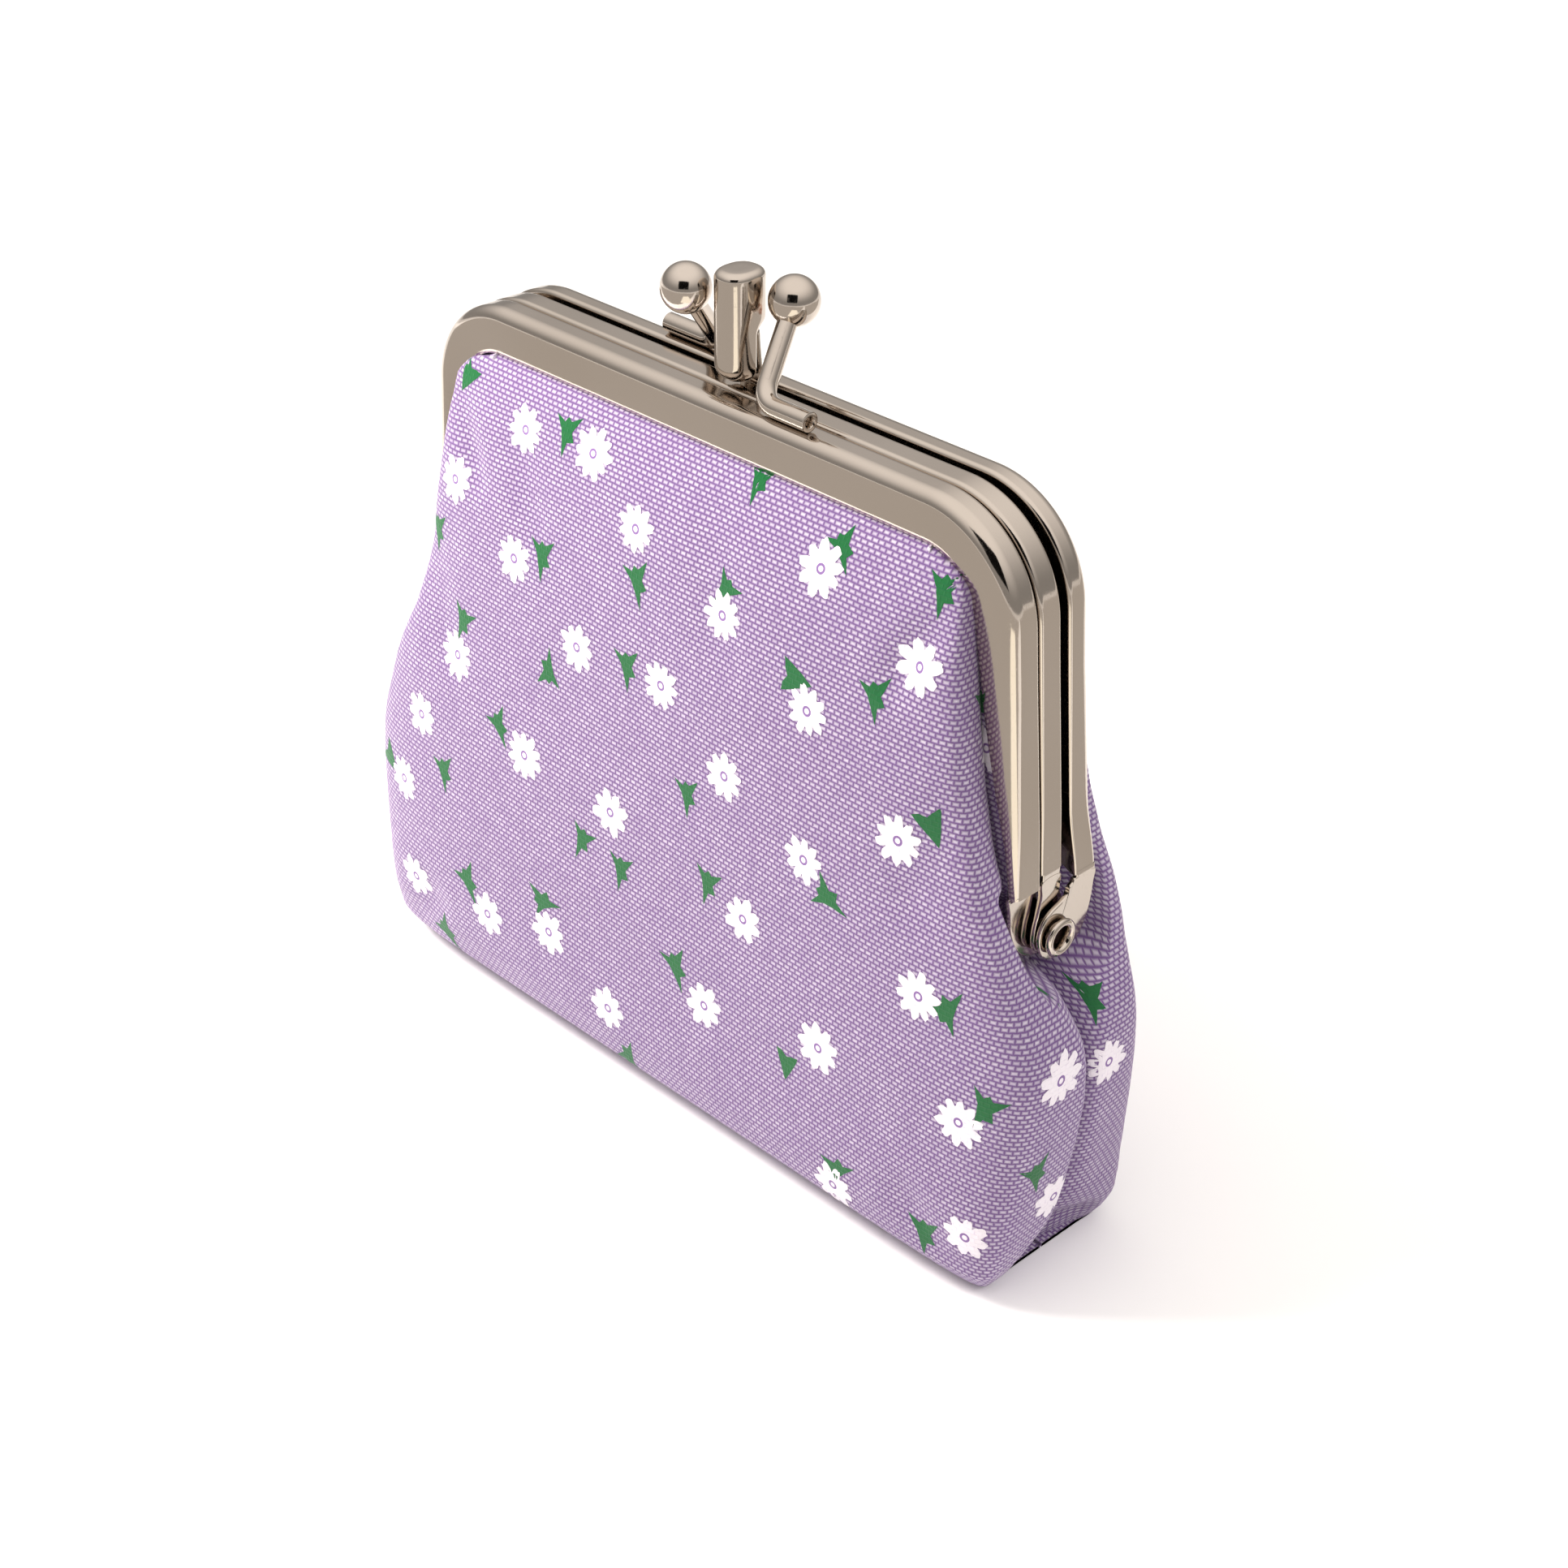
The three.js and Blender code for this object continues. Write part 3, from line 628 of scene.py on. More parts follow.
def tube(path, radius):
    """A round rod along a path. The first end is cut square and shows its drilled bore."""
    path = np.asarray(path, float)
    heading = np.gradient(path, axis=0)
    heading /= np.linalg.norm(heading, axis=1)[:, None]
    side = np.array([0.0, 1.0, 0.0])

    def ring(at, along, r):
        across = side - along * (side @ along)
        across = across / np.linalg.norm(across)
        other = np.cross(along, across)
        return [at + r * (across * cos + other * sin) for cos, sin in circle(40)]

    first = heading[0]
    rings = [ring(path[0] + first * depth, first, radius * share)
             for depth, share in ((1.0, 0.5), (0.1, 0.55), (0.0, 0.62), (0.0, 0.9), (0.08, 0.99))]
    rings += [ring(at, along, radius) for at, along in zip(path, heading)]
    return loft(rings)


def bent_path(*corners, bend=2.4):
    """A line through corners with a round bend at each inner corner."""
    corners = [np.asarray(c, float) for c in corners]
    path = [corners[0]]
    for before, corner, after in zip(corners, corners[1:], corners[2:]):
        start = corner + (before - corner) / np.linalg.norm(before - corner) * bend
        end = corner + (after - corner) / np.linalg.norm(after - corner) * bend
        path += list(round_bend(start, corner, end, 14))
    path.append(corners[-1])
    fine = [path[0]]
    for a, b in zip(path, path[1:]):
        count = max(1, int(np.linalg.norm(b - a)))
        fine += [a + (b - a) * (k + 1) / count for k in range(count)]
    return fine


ROD_R = 1.15
HEEL_OUT = 2.2  # the stem's bend stands this much further out than its ball
POST_WAIST = (98.8, 99.9)  # the post's back is cut away below these heights


def build_clasp():
    """A ball on a bent stem on each outer arch, and the post with its bracket between them."""
    post_centre = (POST_LOW + POST_HIGH) / 2
    for turn, side, low, high, foot_y in ((1, "front", BALL_LOW, BALL_HIGH, -4.1),
                                          (-1, "rear", REAR_BALL_LOW, REAR_BALL_HIGH, 4.3)):
        centre = (low + high) / 2
        radius = (high[2] - low[2]) / 2
        stem_low, stem_high = box_mm(f"{side}_clasp_stem")
        foot_end = stem_high[0] if turn > 0 else stem_low[0]
        foot_z = stem_low[2] + ROD_R
        profile = [(radius * math.sin(a), -radius * math.cos(a))
                   for a in np.linspace(0.02, math.pi - 0.02, 48)]
        ball = make_object(f"{side}_ball", *loft(lathe(profile, centre, (0, 0, 1), 72)), NICKEL)
        gap = np.linalg.norm((np.array([v.co for v in ball.data.vertices]) / MM
                              - (post_centre * [1, 1, 0] + [0, 0, centre[2]])) * [1, 1, 0.7], axis=1)
        point_values(ball, "wear", ramp(gap, 3.3, 2.3) * 0.62)
        heel = np.array([centre[0] + turn * HEEL_OUT, foot_y, foot_z])
        up = (centre - heel) / np.linalg.norm(centre - heel)
        path = bent_path((foot_end, foot_y, foot_z), heel, centre - up * (radius - 0.25))
        stem = make_object(f"{side}_bent_stem", *tube(path, ROD_R), NICKEL)
        fitted(ball, f"{side}_clasp_ball", f"{side}_arch")
        fitted(stem, f"{side}_clasp_stem", f"{side}_arch")

    half_x = (POST_HIGH[0] - POST_LOW[0]) / 2
    half_y = (POST_HIGH[1] - POST_LOW[1]) / 2
    bottom, top = POST_LOW[2], POST_HIGH[2]
    profile = [(math.sin(a), bottom + 2.2 * (1 - math.cos(a)))
               for a in np.linspace(0.03, math.pi / 2, 14)]
    profile += [(1.0, z) for z in np.linspace(bottom + 2.8, top - 1.3, 30)]
    profile += [(0.64 + 0.36 * math.cos(a), top - 0.9 + 0.9 * math.sin(a))
                for a in np.linspace(0, math.pi / 2 - 0.02, 10)]
    profile.append((0.3, top))
    rings = []
    for r, z in profile:
        slim = 1 - 0.72 * float(eased(z, POST_WAIST, [1, 0], 0.4))
        ring = []
        for cos, sin in circle(72):
            x = math.copysign(abs(cos) ** 0.85, cos) * half_x
            y = math.copysign(abs(sin) ** 0.85, sin) * half_y * (slim if sin > 0 else 1)
            ring.append((post_centre[0] + r * x, post_centre[1] + r * y, z))
        rings.append(ring)
    post = make_object("clasp_post", *loft(rings), NICKEL)
    at = np.array([v.co for v in post.data.vertices]) / MM
    facing_ball = at[:, 0] > post_centre[0] + 1
    rub = bump(at[:, 2], BALL_LOW[2] + 1.7, 1.3) * bump(at[:, 1], 0.6, 1.2) * facing_ball
    point_values(post, "wear", np.clip(rub, 0, 1) * 0.66)

    y0, y1 = BRACKET_LOW[1], BRACKET_HIGH[1]
    z0, z1 = BRACKET_LOW[2], BRACKET_HIGH[2]
    rings = []
    for z in np.linspace(z0, z1, 24):
        share = (z - z0) / (z1 - z0)
        half = 1.25 + 0.42 * math.sin(math.pi * min(1, share * 1.1)) ** 2
        if share > 0.88:
            half *= math.sqrt(max(0.06, 1 - ((share - 0.88) / 0.12) ** 2 * 0.94))
        ring = []
        for cos, sin in circle(32):
            x = math.copysign(abs(cos) ** 0.5, cos) * half
            y = math.copysign(abs(sin) ** 0.7, sin) * (y1 - y0) / 2
            ring.append((post_centre[0] + x, (y0 + y1) / 2 + y, z))
        rings.append(ring)
    fitted(post, "clasp_post_head", "bag")
    bracket = make_object("post_bracket", *loft(rings), NICKEL)
    fitted(bracket, "clasp_post_bracket", "bag")


# ---- the cloth walls

# Half width at the fold, how far forward the fold lies, half depth and squareness, by height.
LEVEL = [0, 1, 4, 8, 13, 20, 26, 31, 34, 39, 43, 47, 51, 56, 62, 69, 75, 80, 84, 86, 86.9]
WIDTH = [
    50.8, 52.0, 53.8, 54.9, 55.8, 56.8, 57.3, 57.3, 56.7, 54.5, 52.6, 50.6, 48.3, 46.4, 44.7, 43.3,
    42.3, 41.5, 40.9, 40.6, 40.6]
FOLD = [
    9.0, 8.8, 7.4, 5.6, 4.3, 3.2, 2.7, 3.0, 3.6, 5.6, 7.4, 8.1, 8.2, 8.2, 8.1, 7.9, 7.5, 7.0, 6.5, 6.3,
    5.4]
DEPTH = [
    9.6, 11.8, 14.4, 15.2, 15.3, 14.9, 14.7, 14.3, 14.1, 13.8, 13.5, 13.1, 12.8, 12.4, 12.0, 11.3, 10.5,
    9.4, 7.8, 6.7, 5.6]
SQUARE = [
    9, 8.5, 7.5, 7, 6.6, 6.4, 6.2, 6.0, 5.8, 5.6, 5.4, 5.3, 5.2, 5.2, 5.2, 5.0, 4.8, 4.6, 4.2, 4.0, 4.0]

# The back edge: the side seam up to the slit, then the free edge past the hinge, then the channel.
EDGE_LEVEL = [0, 3, 5, 10, 20, 27, 31, 33, 34.8, 36.6, 39.2, 43.5, 47, 50.5, 54]
EDGE_WIDTH = [50.0, 50.2, 51.0, 52.0, 53.3, 53.8, 53.6, 53.2, 51.6, 49.4, 46.1, 45.7, 46.2, 47.2, 47.9]

TOP_ROW = FRAME_TOP - RIM_REACH
BASE_ROWS = 9


def row_levels():
    """Heights of a wall's rows: closest at the base, past the hinge and at the channel's mouth."""
    spans = ((0, 6, 13), (6, 30, 27), (30, 56, 34), (56, 80, 24), (80, 85, 7), (85, 88, 13))
    return np.concatenate([np.linspace(*span)[:-1] for span in spans] + [np.linspace(88, TOP_ROW, 5)])


def wall_row(z, share, rear):
    """One row of a cloth wall as a line of points from the right edge to the left edge. share is 1
    on the wall and falls to 0 across the base."""
    width = float(eased(z, LEVEL, WIDTH, 1.6))
    fold = float(eased(z, LEVEL, FOLD, 0.8)) * share
    depth = float(eased(z, LEVEL, DEPTH, 0.8)) * share
    if z > CORNER_Z:
        over = 1.3 * ramp(z, 86.8, 85.6)
        width = min(width, float(arch_half_width(min(z, 86.3), MOUTH)) + over)
    if z > RIM_Z:
        fold, depth = RIM_Y, RIM_Y + 0.01
    square = float(eased(z, LEVEL, SQUARE, 2.0))
    if rear:
        square = 3.2 + 0.25 * square
        width = width - 1.2 * ramp(z, 60, 40) * ramp(z, 0, 10)
        depth = max(depth - 0.9 * share * ramp(z, 70, 40), fold + 0.2 * share)
    back = SEAM_Y + (RIM_Y - SEAM_Y) * ramp(z, 40, 50)
    back = min(back, max(fold - 0.05, SEAM_Y))
    if z < SLIT_TOP:
        edge = float(eased(z, EDGE_LEVEL, EDGE_WIDTH, 0.8))
    else:
        edge = float(arch_half_width(z, RIM_REACH))
    reach = ramp(z, 43, SLIT_TOP)
    mouth = min(edge - 0.35, edge * (1 - reach) + float(arch_half_width(min(z, MOUTH_Z), MOUTH)) * reach)
    if z > MOUTH_Z:
        mouth = min(edge - 0.35, float(arch_half_width(MOUTH_Z, MOUTH)) + (z - MOUTH_Z) * 0.4)
    if z < 43:
        mouth = edge - 0.35
    if z > RIM_Z:
        width = min(width, mouth - 0.1)
    depth = max(depth, back + 0.02) if z > 50 else depth
    rim = [(edge + (mouth - edge) * s, -back) for s in np.linspace(0, 1, 7)[:-1]]
    p0 = np.array([mouth, -back])
    p2 = np.array([width, -fold])
    p1 = np.array([width + 0.1, -(back + (fold - back) * (0.15 if z > 43 else 0.3))])
    clear = ramp(z, 38.5, 41) * ramp(z, 51.5, 49.5)
    p1 = p1 * (1 - clear) + np.array([mouth + 0.3, -6.5]) * clear
    gusset = ramp(z, 9, 3)
    p1 = p1 * (1 - gusset) + (p0 + p2 + [0.3, 0]) / 2 * gusset
    if z > 86.8:
        p1 = (p0 + p2) / 2
    tuck = round_bend(p0, p1, p2, 10)[:-1]
    turns = np.linspace(0, math.pi / 2, 400)
    x = width * np.cos(turns) ** (2 / square)
    y = -fold - (depth - fold) * np.sin(turns) ** (2 / square)
    length = np.concatenate([[0], np.cumsum(np.hypot(np.diff(x), np.diff(y)))])
    picks = np.linspace(0, length[-1], 66)
    front = np.stack([np.interp(picks, length, x), np.interp(picks, length, y)], 1)
    half = np.concatenate([np.array(rim), tuck, front])
    return np.concatenate([half, half[:-1][::-1] * [-1, 1]])


def crease(x, z, start, end, width, depth):
    """A soft valley along a line, fading out at both ends."""
    start, end = np.array(start, float), np.array(end, float)
    line = end - start
    along = ((x - start[0]) * line[0] + (z - start[1]) * line[1]) / (line @ line)
    off = (-(x - start[0]) * line[1] + (z - start[1]) * line[0]) / np.linalg.norm(line)
    fade = np.clip(along + 0.15, 0, 1) * np.clip(1 - along, 0, 1)
    fade = np.clip(fade * 4, 0, 1)
    return depth * fade * np.exp(-((off / width) ** 2))


def slack(x, z, rear):
    """How far the filled cloth gives, in millimetres inward."""
    give = 0.35 * np.sin(x / 17 + 0.7) * np.sin(z / 15 + (2.1 if rear else 0.4))
    give += 0.18 * np.sin(x / 7.3 + z / 19 + (1.0 if rear else 0.0)) * bump(z, 74, 12)
    for side in (1, -1):
        give += crease(x, z, (side * 41.5, 85), (side * 33, 70), 2.2, 0.9)
        give += crease(x, z, (side * 45, 63), (side * 38, 44), 4.0, 0.5)
        give += crease(x, z, (side * 51, 2), (side * 40, 14), 3.0, 0.7)
    give += crease(x, z, (-30, 86), (-22, 66), 3.0, 0.45)
    give += crease(x, z, (6, 86), (10, 62), 4.0, 0.35)
    return give


def wall_grid(rear=False):
    """Points, cloth coordinates and outward normals of one wall, base first, all in millimetres."""
    places = [(0.0, max(k / BASE_ROWS, 0.02)) for k in range(BASE_ROWS)]
    places += [(z, 1.0) for z in row_levels()]
    rows = []
    for z, share in places:
        line = wall_row(z, share, rear)
        rows.append(np.column_stack([line, np.full(len(line), max(z, 0.03))]))
    grid = np.array(rows)
    x, y, z = (grid[:, :, i] for i in range(3))
    y += slack(x, z, rear) * ramp(z, 3, 9) * ramp(z, 86.5, 81.5) * ramp(-y, 7.5, 10)
    boxed_corner = ramp(np.abs(x), 48, 51) * ramp(y, -8, -6)
    x -= np.sign(x) * 1.1 * bump(z, 2.8, 1.7) * boxed_corner
    steps = np.linalg.norm(np.diff(grid, axis=1), axis=2)
    run = np.concatenate([np.zeros((len(grid), 1)), np.cumsum(steps, axis=1)], axis=1)
    middle = grid.shape[1] // 2
    across = run[:, middle][:, None] - run
    rise = np.linalg.norm(np.diff(grid[:, middle], axis=0), axis=1)
    up = np.concatenate([[0], np.cumsum(rise)])
    up -= up[BASE_ROWS]
    normal = np.cross(np.gradient(grid, axis=1), np.gradient(grid, axis=0))
    normal /= np.linalg.norm(normal, axis=2)[:, :, None] + 1e-12
    if normal[len(grid) // 2, middle, 1] > 0:
        normal = -normal
    if rear:
        grid = grid * [1, -1, 1]
        normal = normal * [1, -1, 1]
        across = -across
    return {"points": grid, "normal": normal, "across": across, "up": up}


def cloth_ply(name, node, wall, inset, thickness, material, slot):
    """One ply of a wall: the wall's form moved in, with the cloth's own thickness inward."""
    points = wall["points"] - wall["normal"] * inset
    points[:, :, 2] = np.maximum(points[:, :, 2], inset + 0.03)
    corner = ramp(np.abs(points[:, :, 0]), 42, 49) * ramp(points[:, :, 2], 10, 5)
    points[:, :, 0] -= np.sign(points[:, :, 0]) * corner * min(inset * 3, 2.4)
    inner = points - wall["normal"] * thickness
    inner[:, :, 2] = np.maximum(inner[:, :, 2], inset + thickness)
    across = wall["across"]
    up = np.broadcast_to(wall["up"][:, None], across.shape)
    uv = np.stack([across, up], 2).reshape(-1, 2)
    made = make_object(name, *sheet_solid(points, inner), material, np.concatenate([uv, uv]))
    fitted(made, node, sharp=None)
    return made


def bend_with(obj):
    """Bakes the piece's placement into its mesh."""
    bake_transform(obj)


# ---- the print

def on_wall(wall, across, up, lift):
    """Points on a wall's outer face at cloth coordinates."""
    levels = wall["up"]
    row = np.clip(np.searchsorted(levels, up) - 1, 0, len(levels) - 2)
    share = ramp(up, levels[row], levels[row + 1])
    result = np.zeros((len(across), 3))
    facing = np.zeros((len(across), 3))
    for k in range(len(across)):
        ends, normals = [], []
        for r in (row[k], row[k] + 1):
            run = wall["across"][r]
            order = slice(None, None, -1) if run[0] > run[-1] else slice(None)
            ends.append([np.interp(across[k], run[order], wall["points"][r, order, i]) for i in range(3)])
            normals.append([np.interp(across[k], run[order], wall["normal"][r, order, i])
                            for i in range(3)])
        ends, normals = np.array(ends), np.array(normals)
        result[k] = ends[0] * (1 - share[k]) + ends[1] * share[k]
        facing[k] = normals[0] * (1 - share[k]) + normals[1] * share[k]
    facing /= np.linalg.norm(facing, axis=1)[:, None]
    return result + facing * lift


def ring_patch(rings):
    """Faces between rings of one size, with the innermost ring left open."""
    points = np.concatenate(rings)
    return points, strip_faces(len(rings), len(rings[0]), closed=True)


def daisy(rng, size):
    """A daisy as flat points: eight to ten ragged petals round an open ring, and its heart."""
    petals = rng.integers(8, 11)
    turns = np.linspace(0, 2 * math.pi, 72, endpoint=False)
    lengths = 0.86 + 0.16 * rng.random(petals)
    lean = rng.random() * 2 * math.pi
    place = (turns + lean) / (2 * math.pi) * petals
    which = np.floor(place).astype(int) % petals
    across = np.abs((place % 1) - 0.5) * 2
    tip = lengths[which] * (1 - 0.40 * across ** 2.2)
    ragged = tip * (1 + 0.035 * np.sin(turns * 23 + lean * 5) + 0.02 * np.sin(turns * 37 + lean))
    outline = size * ragged
    direction = circle(72)
    rings = [direction * r[:, None] for r in
             (np.full(72, 0.62), np.full(72, 1.3), 0.35 * 1.3 + 0.65 * outline, 0.9 * outline, outline)]
    heart = np.concatenate([[[0, 0]], direction * 0.34])
    heart_faces = [(0, 1 + i, 1 + (i + 1) % 72) for i in range(72)]
    return merged([ring_patch(rings), (heart, heart_faces)])


def heart_ring():
    """The fine violet ring round a daisy's heart."""
    return ring_patch([circle(36) * 0.3, circle(36) * 0.68])


SPRIG = [
    (0.0, -2.7), (0.32, -1.0), (1.25, -0.75), (0.75, 0.15), (1.75, 1.95), (0.35, 1.15), (-0.15, 1.5),
    (-0.55, 0.95), (-1.85, 1.45), (-0.8, 0.1), (-0.45, -0.9)]
BUD = [
    (0.0, -1.9), (0.7, -0.7), (1.45, 0.9), (1.65, 1.5), (0.6, 1.25), (0.0, 1.0), (-0.7, 1.5),
    (-1.5, 1.6), (-1.1, 0.5), (-0.6, -0.6)]


def sprig(rng, outline, size):
    """A sprig's leaves as flat points, with slightly uneven edges."""
    outline = np.array(outline, float) * size
    edge = np.array([a + (b - a) * s for a, b in zip(outline, np.roll(outline, -1, axis=0))
                     for s in (0, 0.25, 0.5, 0.75)])
    edge *= 1 + 0.05 * (rng.random(len(edge))[:, None] - 0.5)
    return ring_patch([edge * share for share in (0.001, 0.5, 0.85, 1)])


# The screen's daisies, in whole millimetres across from the middle and up from the base edge.
DAISIES = [
    (-16, 85), (21, 84), (-28, 84), (-7, 79), (36, 78), (-40, 74), (8, 74), (22, 68), (-28, 68),
    (-1, 62), (-16, 61), (36, 58), (10, 55), (-39, 51), (23, 50), (-25, 43), (-9, 42), (41, 41),
    (-46, 40), (14, 38), (-50, 29), (27, 27), (48, 28), (8, 23), (-20, 20), (-32, 17), (-48, 15),
    (-9, 14), (30, 9), (-57, 8), (50, 13), (60, 34), (62, 16), (-62, 24), (12, -4), (-24, -6), (49, 69),
    (-63, 44)]
# The sprigs: across, up, which way the stalk points in degrees, and whether it is a bud.
SPRIGS = [
    (37, 87, 180, 0), (9, 90, 180, 0), (-40, 87, 200, 1), (23, 87, 150, 0), (-21, 86, 180, 0),
    (8, 77, 215, 0), (31, 73, 170, 0), (-6, 73, 165, 0), (20, 71, 90, 1), (-23, 70, 180, 0),
    (-7, 62, 175, 0), (40, 61, 150, 1), (-21, 56, 0, 0), (-38, 56, 200, 0), (4, 50, 175, 0),
    (27, 47, 110, 0), (-30, 45, 150, 0), (8, 40, 190, 0), (45, 41, 30, 0), (-7, 35, 185, 0),
    (-41, 34, 170, 0), (-54, 30, 120, 1), (51, 31, 200, 0), (3, 26, 160, 0), (-21, 24, 80, 0),
    (22, 22, 180, 1), (-36, 20, 150, 0), (31, 12, 60, 0), (44, 10, 180, 0), (-42, 9, 140, 0),
    (-6, 8, 20, 0), (58, 22, 170, 0), (46, 74, 180, 0), (-60, 12, 190, 0), (20, -5, 90, 0),
    (-8, -6, 250, 1), (-14, 36, 200, 0), (60, 44, 180, 0), (-44, 66, 180, 0)]


# The rear wall is cut from another part of the roll.
REAR_DAISIES = [
    (-62, 30), (-38, 22), (-20, 31), (-5, 18), (13, 27), (30, 17), (47, 30), (58, 12), (-44, 45),
    (-27, 52), (-8, 44), (9, 53), (27, 42), (44, 50), (-34, 68), (-15, 63), (3, 72), (20, 64), (36, 74),
    (-24, 82), (-4, 85), (16, 83), (-41, 76), (-30, 8), (-12, 5), (8, 10), (24, 4), (42, 8)]
REAR_SPRIGS = [
    (-62, 38, 200, 0), (-57, 51, 170, 0), (-47, 33, 150, 0), (-30, 30, 120, 0), (-12, 37, 190, 0),
    (4, 34, 60, 0), (21, 33, 180, 0), (37, 27, 200, 1), (-35, 57, 160, 0), (-17, 51, 180, 0),
    (2, 60, 140, 0), (19, 53, 200, 0), (36, 58, 170, 0), (-24, 73, 180, 0), (-6, 79, 30, 0),
    (11, 78, 180, 0), (29, 81, 160, 1), (-45, 12, 140, 0), (-21, 14, 180, 0), (-2, 9, 70, 0),
    (16, 17, 190, 0), (34, 10, 180, 0), (52, 19, 150, 0)]


def printed(wall, side, turned):
    """The daisies and sprigs of one wall. turned prints the rear wall."""
    rng = np.random.default_rng(11 if turned else 4)
    white, green, violet = [], [], []

    def place(flat, at, angle):
        """Cloth coordinates of a motif turned and set at its place."""
        c, s = math.cos(angle), math.sin(angle)
        u, v = at
        if not turned:
            u, v = u + 1.5, v - 0.75
        across = flat[:, 0] * c - flat[:, 1] * s + u
        up = flat[:, 0] * s + flat[:, 1] * c + v
        return across, up

    def inside(across, up):
        """Whether a motif lies wholly on the wall."""
        rows = np.clip(np.searchsorted(wall["up"], up) - 1, 0, len(wall["up"]) - 1)
        reach = np.abs(wall["across"][rows]).max(axis=1) - 0.3
        return (np.all(np.abs(across) < reach)
                and up.max() < wall["up"][-1] - 0.3 and up.min() > wall["up"][1])

    for u, v in REAR_DAISIES if turned else DAISIES:
        points, faces = daisy(rng, 3.05 + 0.3 * rng.random())
        across, up = place(points, (u, v), rng.random() * 6.28)
        ring_points, ring_faces = heart_ring()
        ring_across, ring_up = place(ring_points, (u, v), 0)
        if inside(across, up):
            white.append((across, up, faces))
            violet.append((ring_across, ring_up, ring_faces))
    for u, v, heading, bud in REAR_SPRIGS if turned else SPRIGS:
        points, faces = sprig(rng, BUD if bud else SPRIG, 1.1 + 0.2 * rng.random())
        across, up = place(points, (u, v), math.radians(180 - heading))
        if inside(across, up):
            green.append((across, up, faces))
    made = []
    for name, parts, material, lift in (("daisies", white, WHITE_PRINT, 0.045),
                                        ("sprigs", green, GREEN_PRINT, 0.035),
                                        ("daisy_rings", violet, RING_PRINT, 0.03)):
        sets, uvs = [], []
        for across, up, faces in parts:
            sets.append((on_wall(wall, across, up, lift), faces))
            uvs.append(np.stack([across, up], 1))
        points, faces = merged(sets)
        made.append(make_object(f"{side}_{name}", points, faces, material, np.concatenate(uvs)))
    return made


# Each ply of a wall: its name, CAD node, inset, thickness, material and slot.
PLIES = [("printed_wall", "outer_panel", 0.0, 0.45, CANVAS, "printed_canvas"),
         ("felt_ply", "interlining", 0.62, 0.26, FELT, "felt"),
         ("lining_ply", "lining", 1.05, 0.26, COTTON, "lining_cotton")]


def build_walls():
    """The front and rear walls, with the print on each."""
    for side in ("front", "rear"):
        wall = wall_grid(rear=side == "rear")
        plies = [cloth_ply(f"{side}_{name}", f"{side}_{node}", wall, *rest)
                 for name, node, *rest in PLIES]
        prints = printed(wall, side, side == "rear")
        for piece in (*plies, *prints):
            bend_with(piece)


# ---- the divider

DIVIDER_LEVEL = [1.6, 3, 12, 24, 31, 36, 40, 43.5, 48, 53.5]
DIVIDER_WIDTH = [46, 49.2, 52, 53.4, 52.4, 48.4, 45.2, 45.2, 46.2, 47.9]


def divider_ply(name, node, y0, y1, material):
    """One ply of the divider, between two depths."""
    levels = np.concatenate([np.linspace(1.6, 54, 50), np.linspace(55, TOP_ROW, 36)])
    columns = 90
    faces_points = []
    for y in (y0, y1):
        rows = []
        for z in levels:
            in_arch = z >= SLIT_TOP
            half = float(arch_half_width(z, RIM_REACH) if in_arch
                         else eased(z, DIVIDER_LEVEL, DIVIDER_WIDTH, 0.8))
            x = np.linspace(-half, half, columns)
            free = ramp(z, 84, 72) * ramp(np.abs(x), 46, 36) * ramp(z, 4, 10)
            wave = 0.35 * np.sin(x / 15) * np.sin(z / 17) * free
            rows.append(np.stack([x, y + wave, np.full(columns, z)], 1))
        faces_points.append(np.array(rows))
    points, faces = sheet_solid(*faces_points)
    made = make_object(name, points, faces, material, points[:, [0, 2]])
    fitted(made, node, "bag", 60)


def build_divider():
    """Felt between two cottons, held in the middle arch."""
    divider_ply("divider_front_cotton", "divider_front_cloth", -1.15, -0.87, COTTON)
    divider_ply("divider_felt", "divider_stiffener", -0.75, -0.42, FELT)
    divider_ply("divider_rear_cotton", "divider_rear_cloth", -0.3, -0.02, COTTON)


# ---- wedge cords

def build_cords():
    """Twisted paper cord pressed into each channel over the cloth."""
    for side, body in (("front", "front_arch"), ("middle", "bag"), ("rear", "rear_arch")):
        low, high = box_mm(f"{side}_wedge_cord")
        y = (low[1] + high[1]) / 2
        half_y = (high[1] - low[1]) / 2
        run = 0.0
        last = None
        rings, uvs = [], []
        stations = arch_stations(low[2], 0.8)
        whole = stations + [((-p[0], p[1]), np.array([-n[0], n[1]])) for p, n in stations[:-1][::-1]]
        for place, inward in whole:
            centre = np.array(place) + 2.2 * np.array(inward)
            run += 0.0 if last is None else float(np.linalg.norm(centre - last))
            last = centre
            ring = []
            for t in np.linspace(0, 2 * math.pi, 20, endpoint=False):
                r = 1 + 0.07 * math.cos(3 * t + run * 2.1)
                inset = 0.75 * r * math.cos(t)
                ring.append((centre[0] + inset * inward[0], y + half_y * r * 0.92 * math.sin(t),
                             centre[1] + inset * inward[1]))
                uvs.append((run, t))
            rings.append(ring)
        made = make_object(f"{side}_paper_cord", *loft(rings), PAPER, uvs)
        fitted(made, f"{side}_wedge_cord", body)


# ---- studio

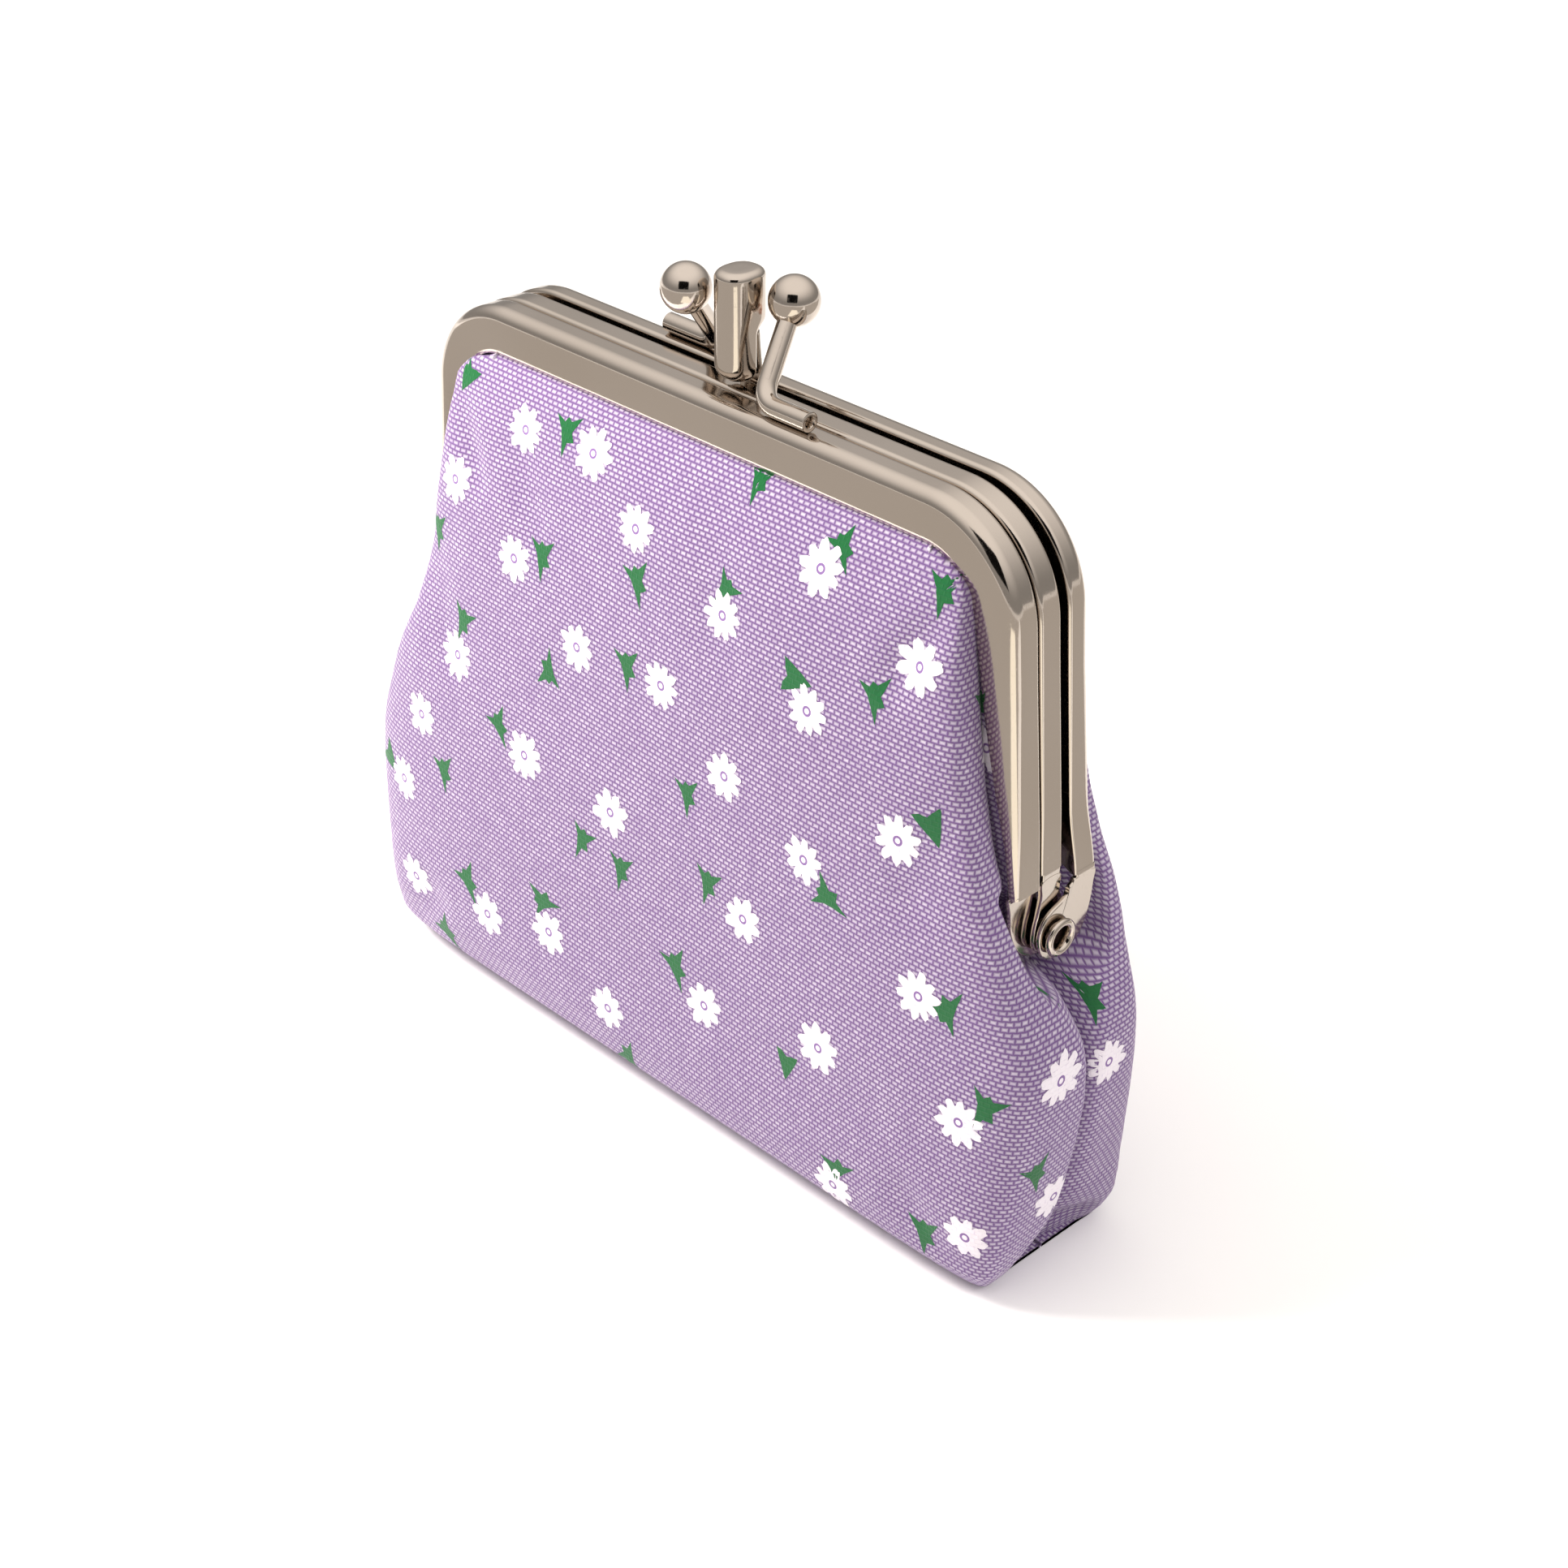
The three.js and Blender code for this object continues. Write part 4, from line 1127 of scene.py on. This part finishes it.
def build_camera():
    """The camera, above and to the right of the purse's front."""
    back = Vector((0.60979, -0.59828, 0.51983)).normalized()
    azimuth, elevation, roll = math.radians(45.546), math.radians(31.321), math.radians(0.393)
    right = Vector((math.cos(azimuth), math.sin(azimuth), 0))
    up = back.cross(right)
    turned_right = right * math.cos(roll) + up * math.sin(roll)
    turned_up = up * math.cos(roll) - right * math.sin(roll)
    data = bpy.data.cameras.new("product_camera")
    data.lens = 61.79
    data.sensor_width = 36
    data.clip_start = 0.01
    data.clip_end = 20
    camera = in_scene("product_camera", data)
    matrix = Matrix((turned_right, turned_up, back)).transposed().to_4x4()
    matrix.translation = Vector((0.200715, -0.18917, 0.208426))
    camera.matrix_world = matrix
    bpy.context.scene.camera = camera
    bpy.context.scene.view_settings.view_transform = "Standard"


def area_light(name, place, aim, size, power, colour="#ffffff"):
    """A softbox that lights the cloth; the metal mirrors the cards instead."""
    data = bpy.data.lights.new(name, "AREA")
    data.shape = "RECTANGLE"
    data.size, data.size_y = size
    data.energy = power
    data.color = linear(colour)[:3]
    made = in_scene(name, data)
    made.location = place
    made.rotation_euler = (Vector(aim) - Vector(place)).to_track_quat("-Z", "Y").to_euler()
    made.visible_glossy = False
    made.visible_camera = False


def flat_panel(name, width, depth, material):
    """A flat rectangle, with its size in metres."""
    x, y = width / 2 / MM, depth / 2 / MM
    return make_object(name, [(-x, -y, 0), (x, -y, 0), (x, y, 0), (-x, y, 0)], [(0, 1, 2, 3)], material,
                       smooth=False)


def card(name, place, aim, size, material, turn=0.0):
    """A card or cloth that only the metal sees."""
    made = flat_panel(name, *size, material)
    made.location = place
    made.rotation_euler = (Vector(aim) - Vector(place)).to_track_quat("Z", "Y").to_euler()
    made.rotation_euler.rotate_axis("Z", turn)
    made.visible_camera = False
    made.visible_shadow = False
    made.visible_diffuse = False


def build_studio():
    """Pale floor, a sky that brightens upward, three softboxes, and cards for the metal to mirror."""
    flat_panel("floor", 6.0, 6.0, painted_floor("pale_painted_floor"))
    world = bpy.data.worlds.new("pale_studio")
    bpy.context.scene.world = world
    world.use_nodes = True
    tree = world.node_tree
    tree.nodes.clear()
    heading = add(tree, "SeparateXYZ", {0: add(tree, "TexCoord").outputs["Generated"]})
    glow = add(tree, "MapRange", {"Value": heading.outputs["Z"], "From Min": 0.1, "From Max": 0.95,
        "To Min": 0.38, "To Max": 1.35}, interpolation_type="SMOOTHSTEP")
    sky = add(tree, "Background", {"Color": linear("#f6f1ec"), "Strength": glow})
    add(tree, "OutputWorld", {"Surface": sky.outputs[0]})
    area_light("key_softbox", (-0.12, -0.125, 0.225), (-0.02, 0, 0.06), (0.1, 0.1), 0.95, "#fffaf4")
    area_light("side_softbox", (-0.9, -0.15, 0.35), (0, 0, 0.06), (0.3, 0.5), 2.0, "#fffdfa")
    area_light("rear_softbox", (0.7, 0.45, 0.6), (0, 0, 0.05), (0.4, 0.5), 2.5)
    black = studio_card("black_cloth", "#0b0a0a", 1.0)
    grey = studio_card("grey_table_mat", "#cfc8c0", 1.0)
    cream = studio_card("cream_paper", "#fbf5e6", 1.7)
    card("camera_side_cloth", (0.215, -0.295, 0.30), (0, 0, 0.09), (0.34, 0.26), black)
    card("table_mat", (0.1, -0.52, 0.003), (0.1, -0.52, 1.0), (1.4, 0.9), grey)
    card("side_mat", (0.5, 0.35, 0.003), (0.5, 0.35, 1.0), (0.8, 0.7), grey)
    card("paper_on_table", (0.13, -0.125, 0.006), (0.13, -0.125, 1.0), (0.1, 0.2), cream,
         math.radians(45))


build_arches()
build_rivets()
build_clasp()
build_walls()
build_divider()
build_cords()
build_camera()
build_studio()
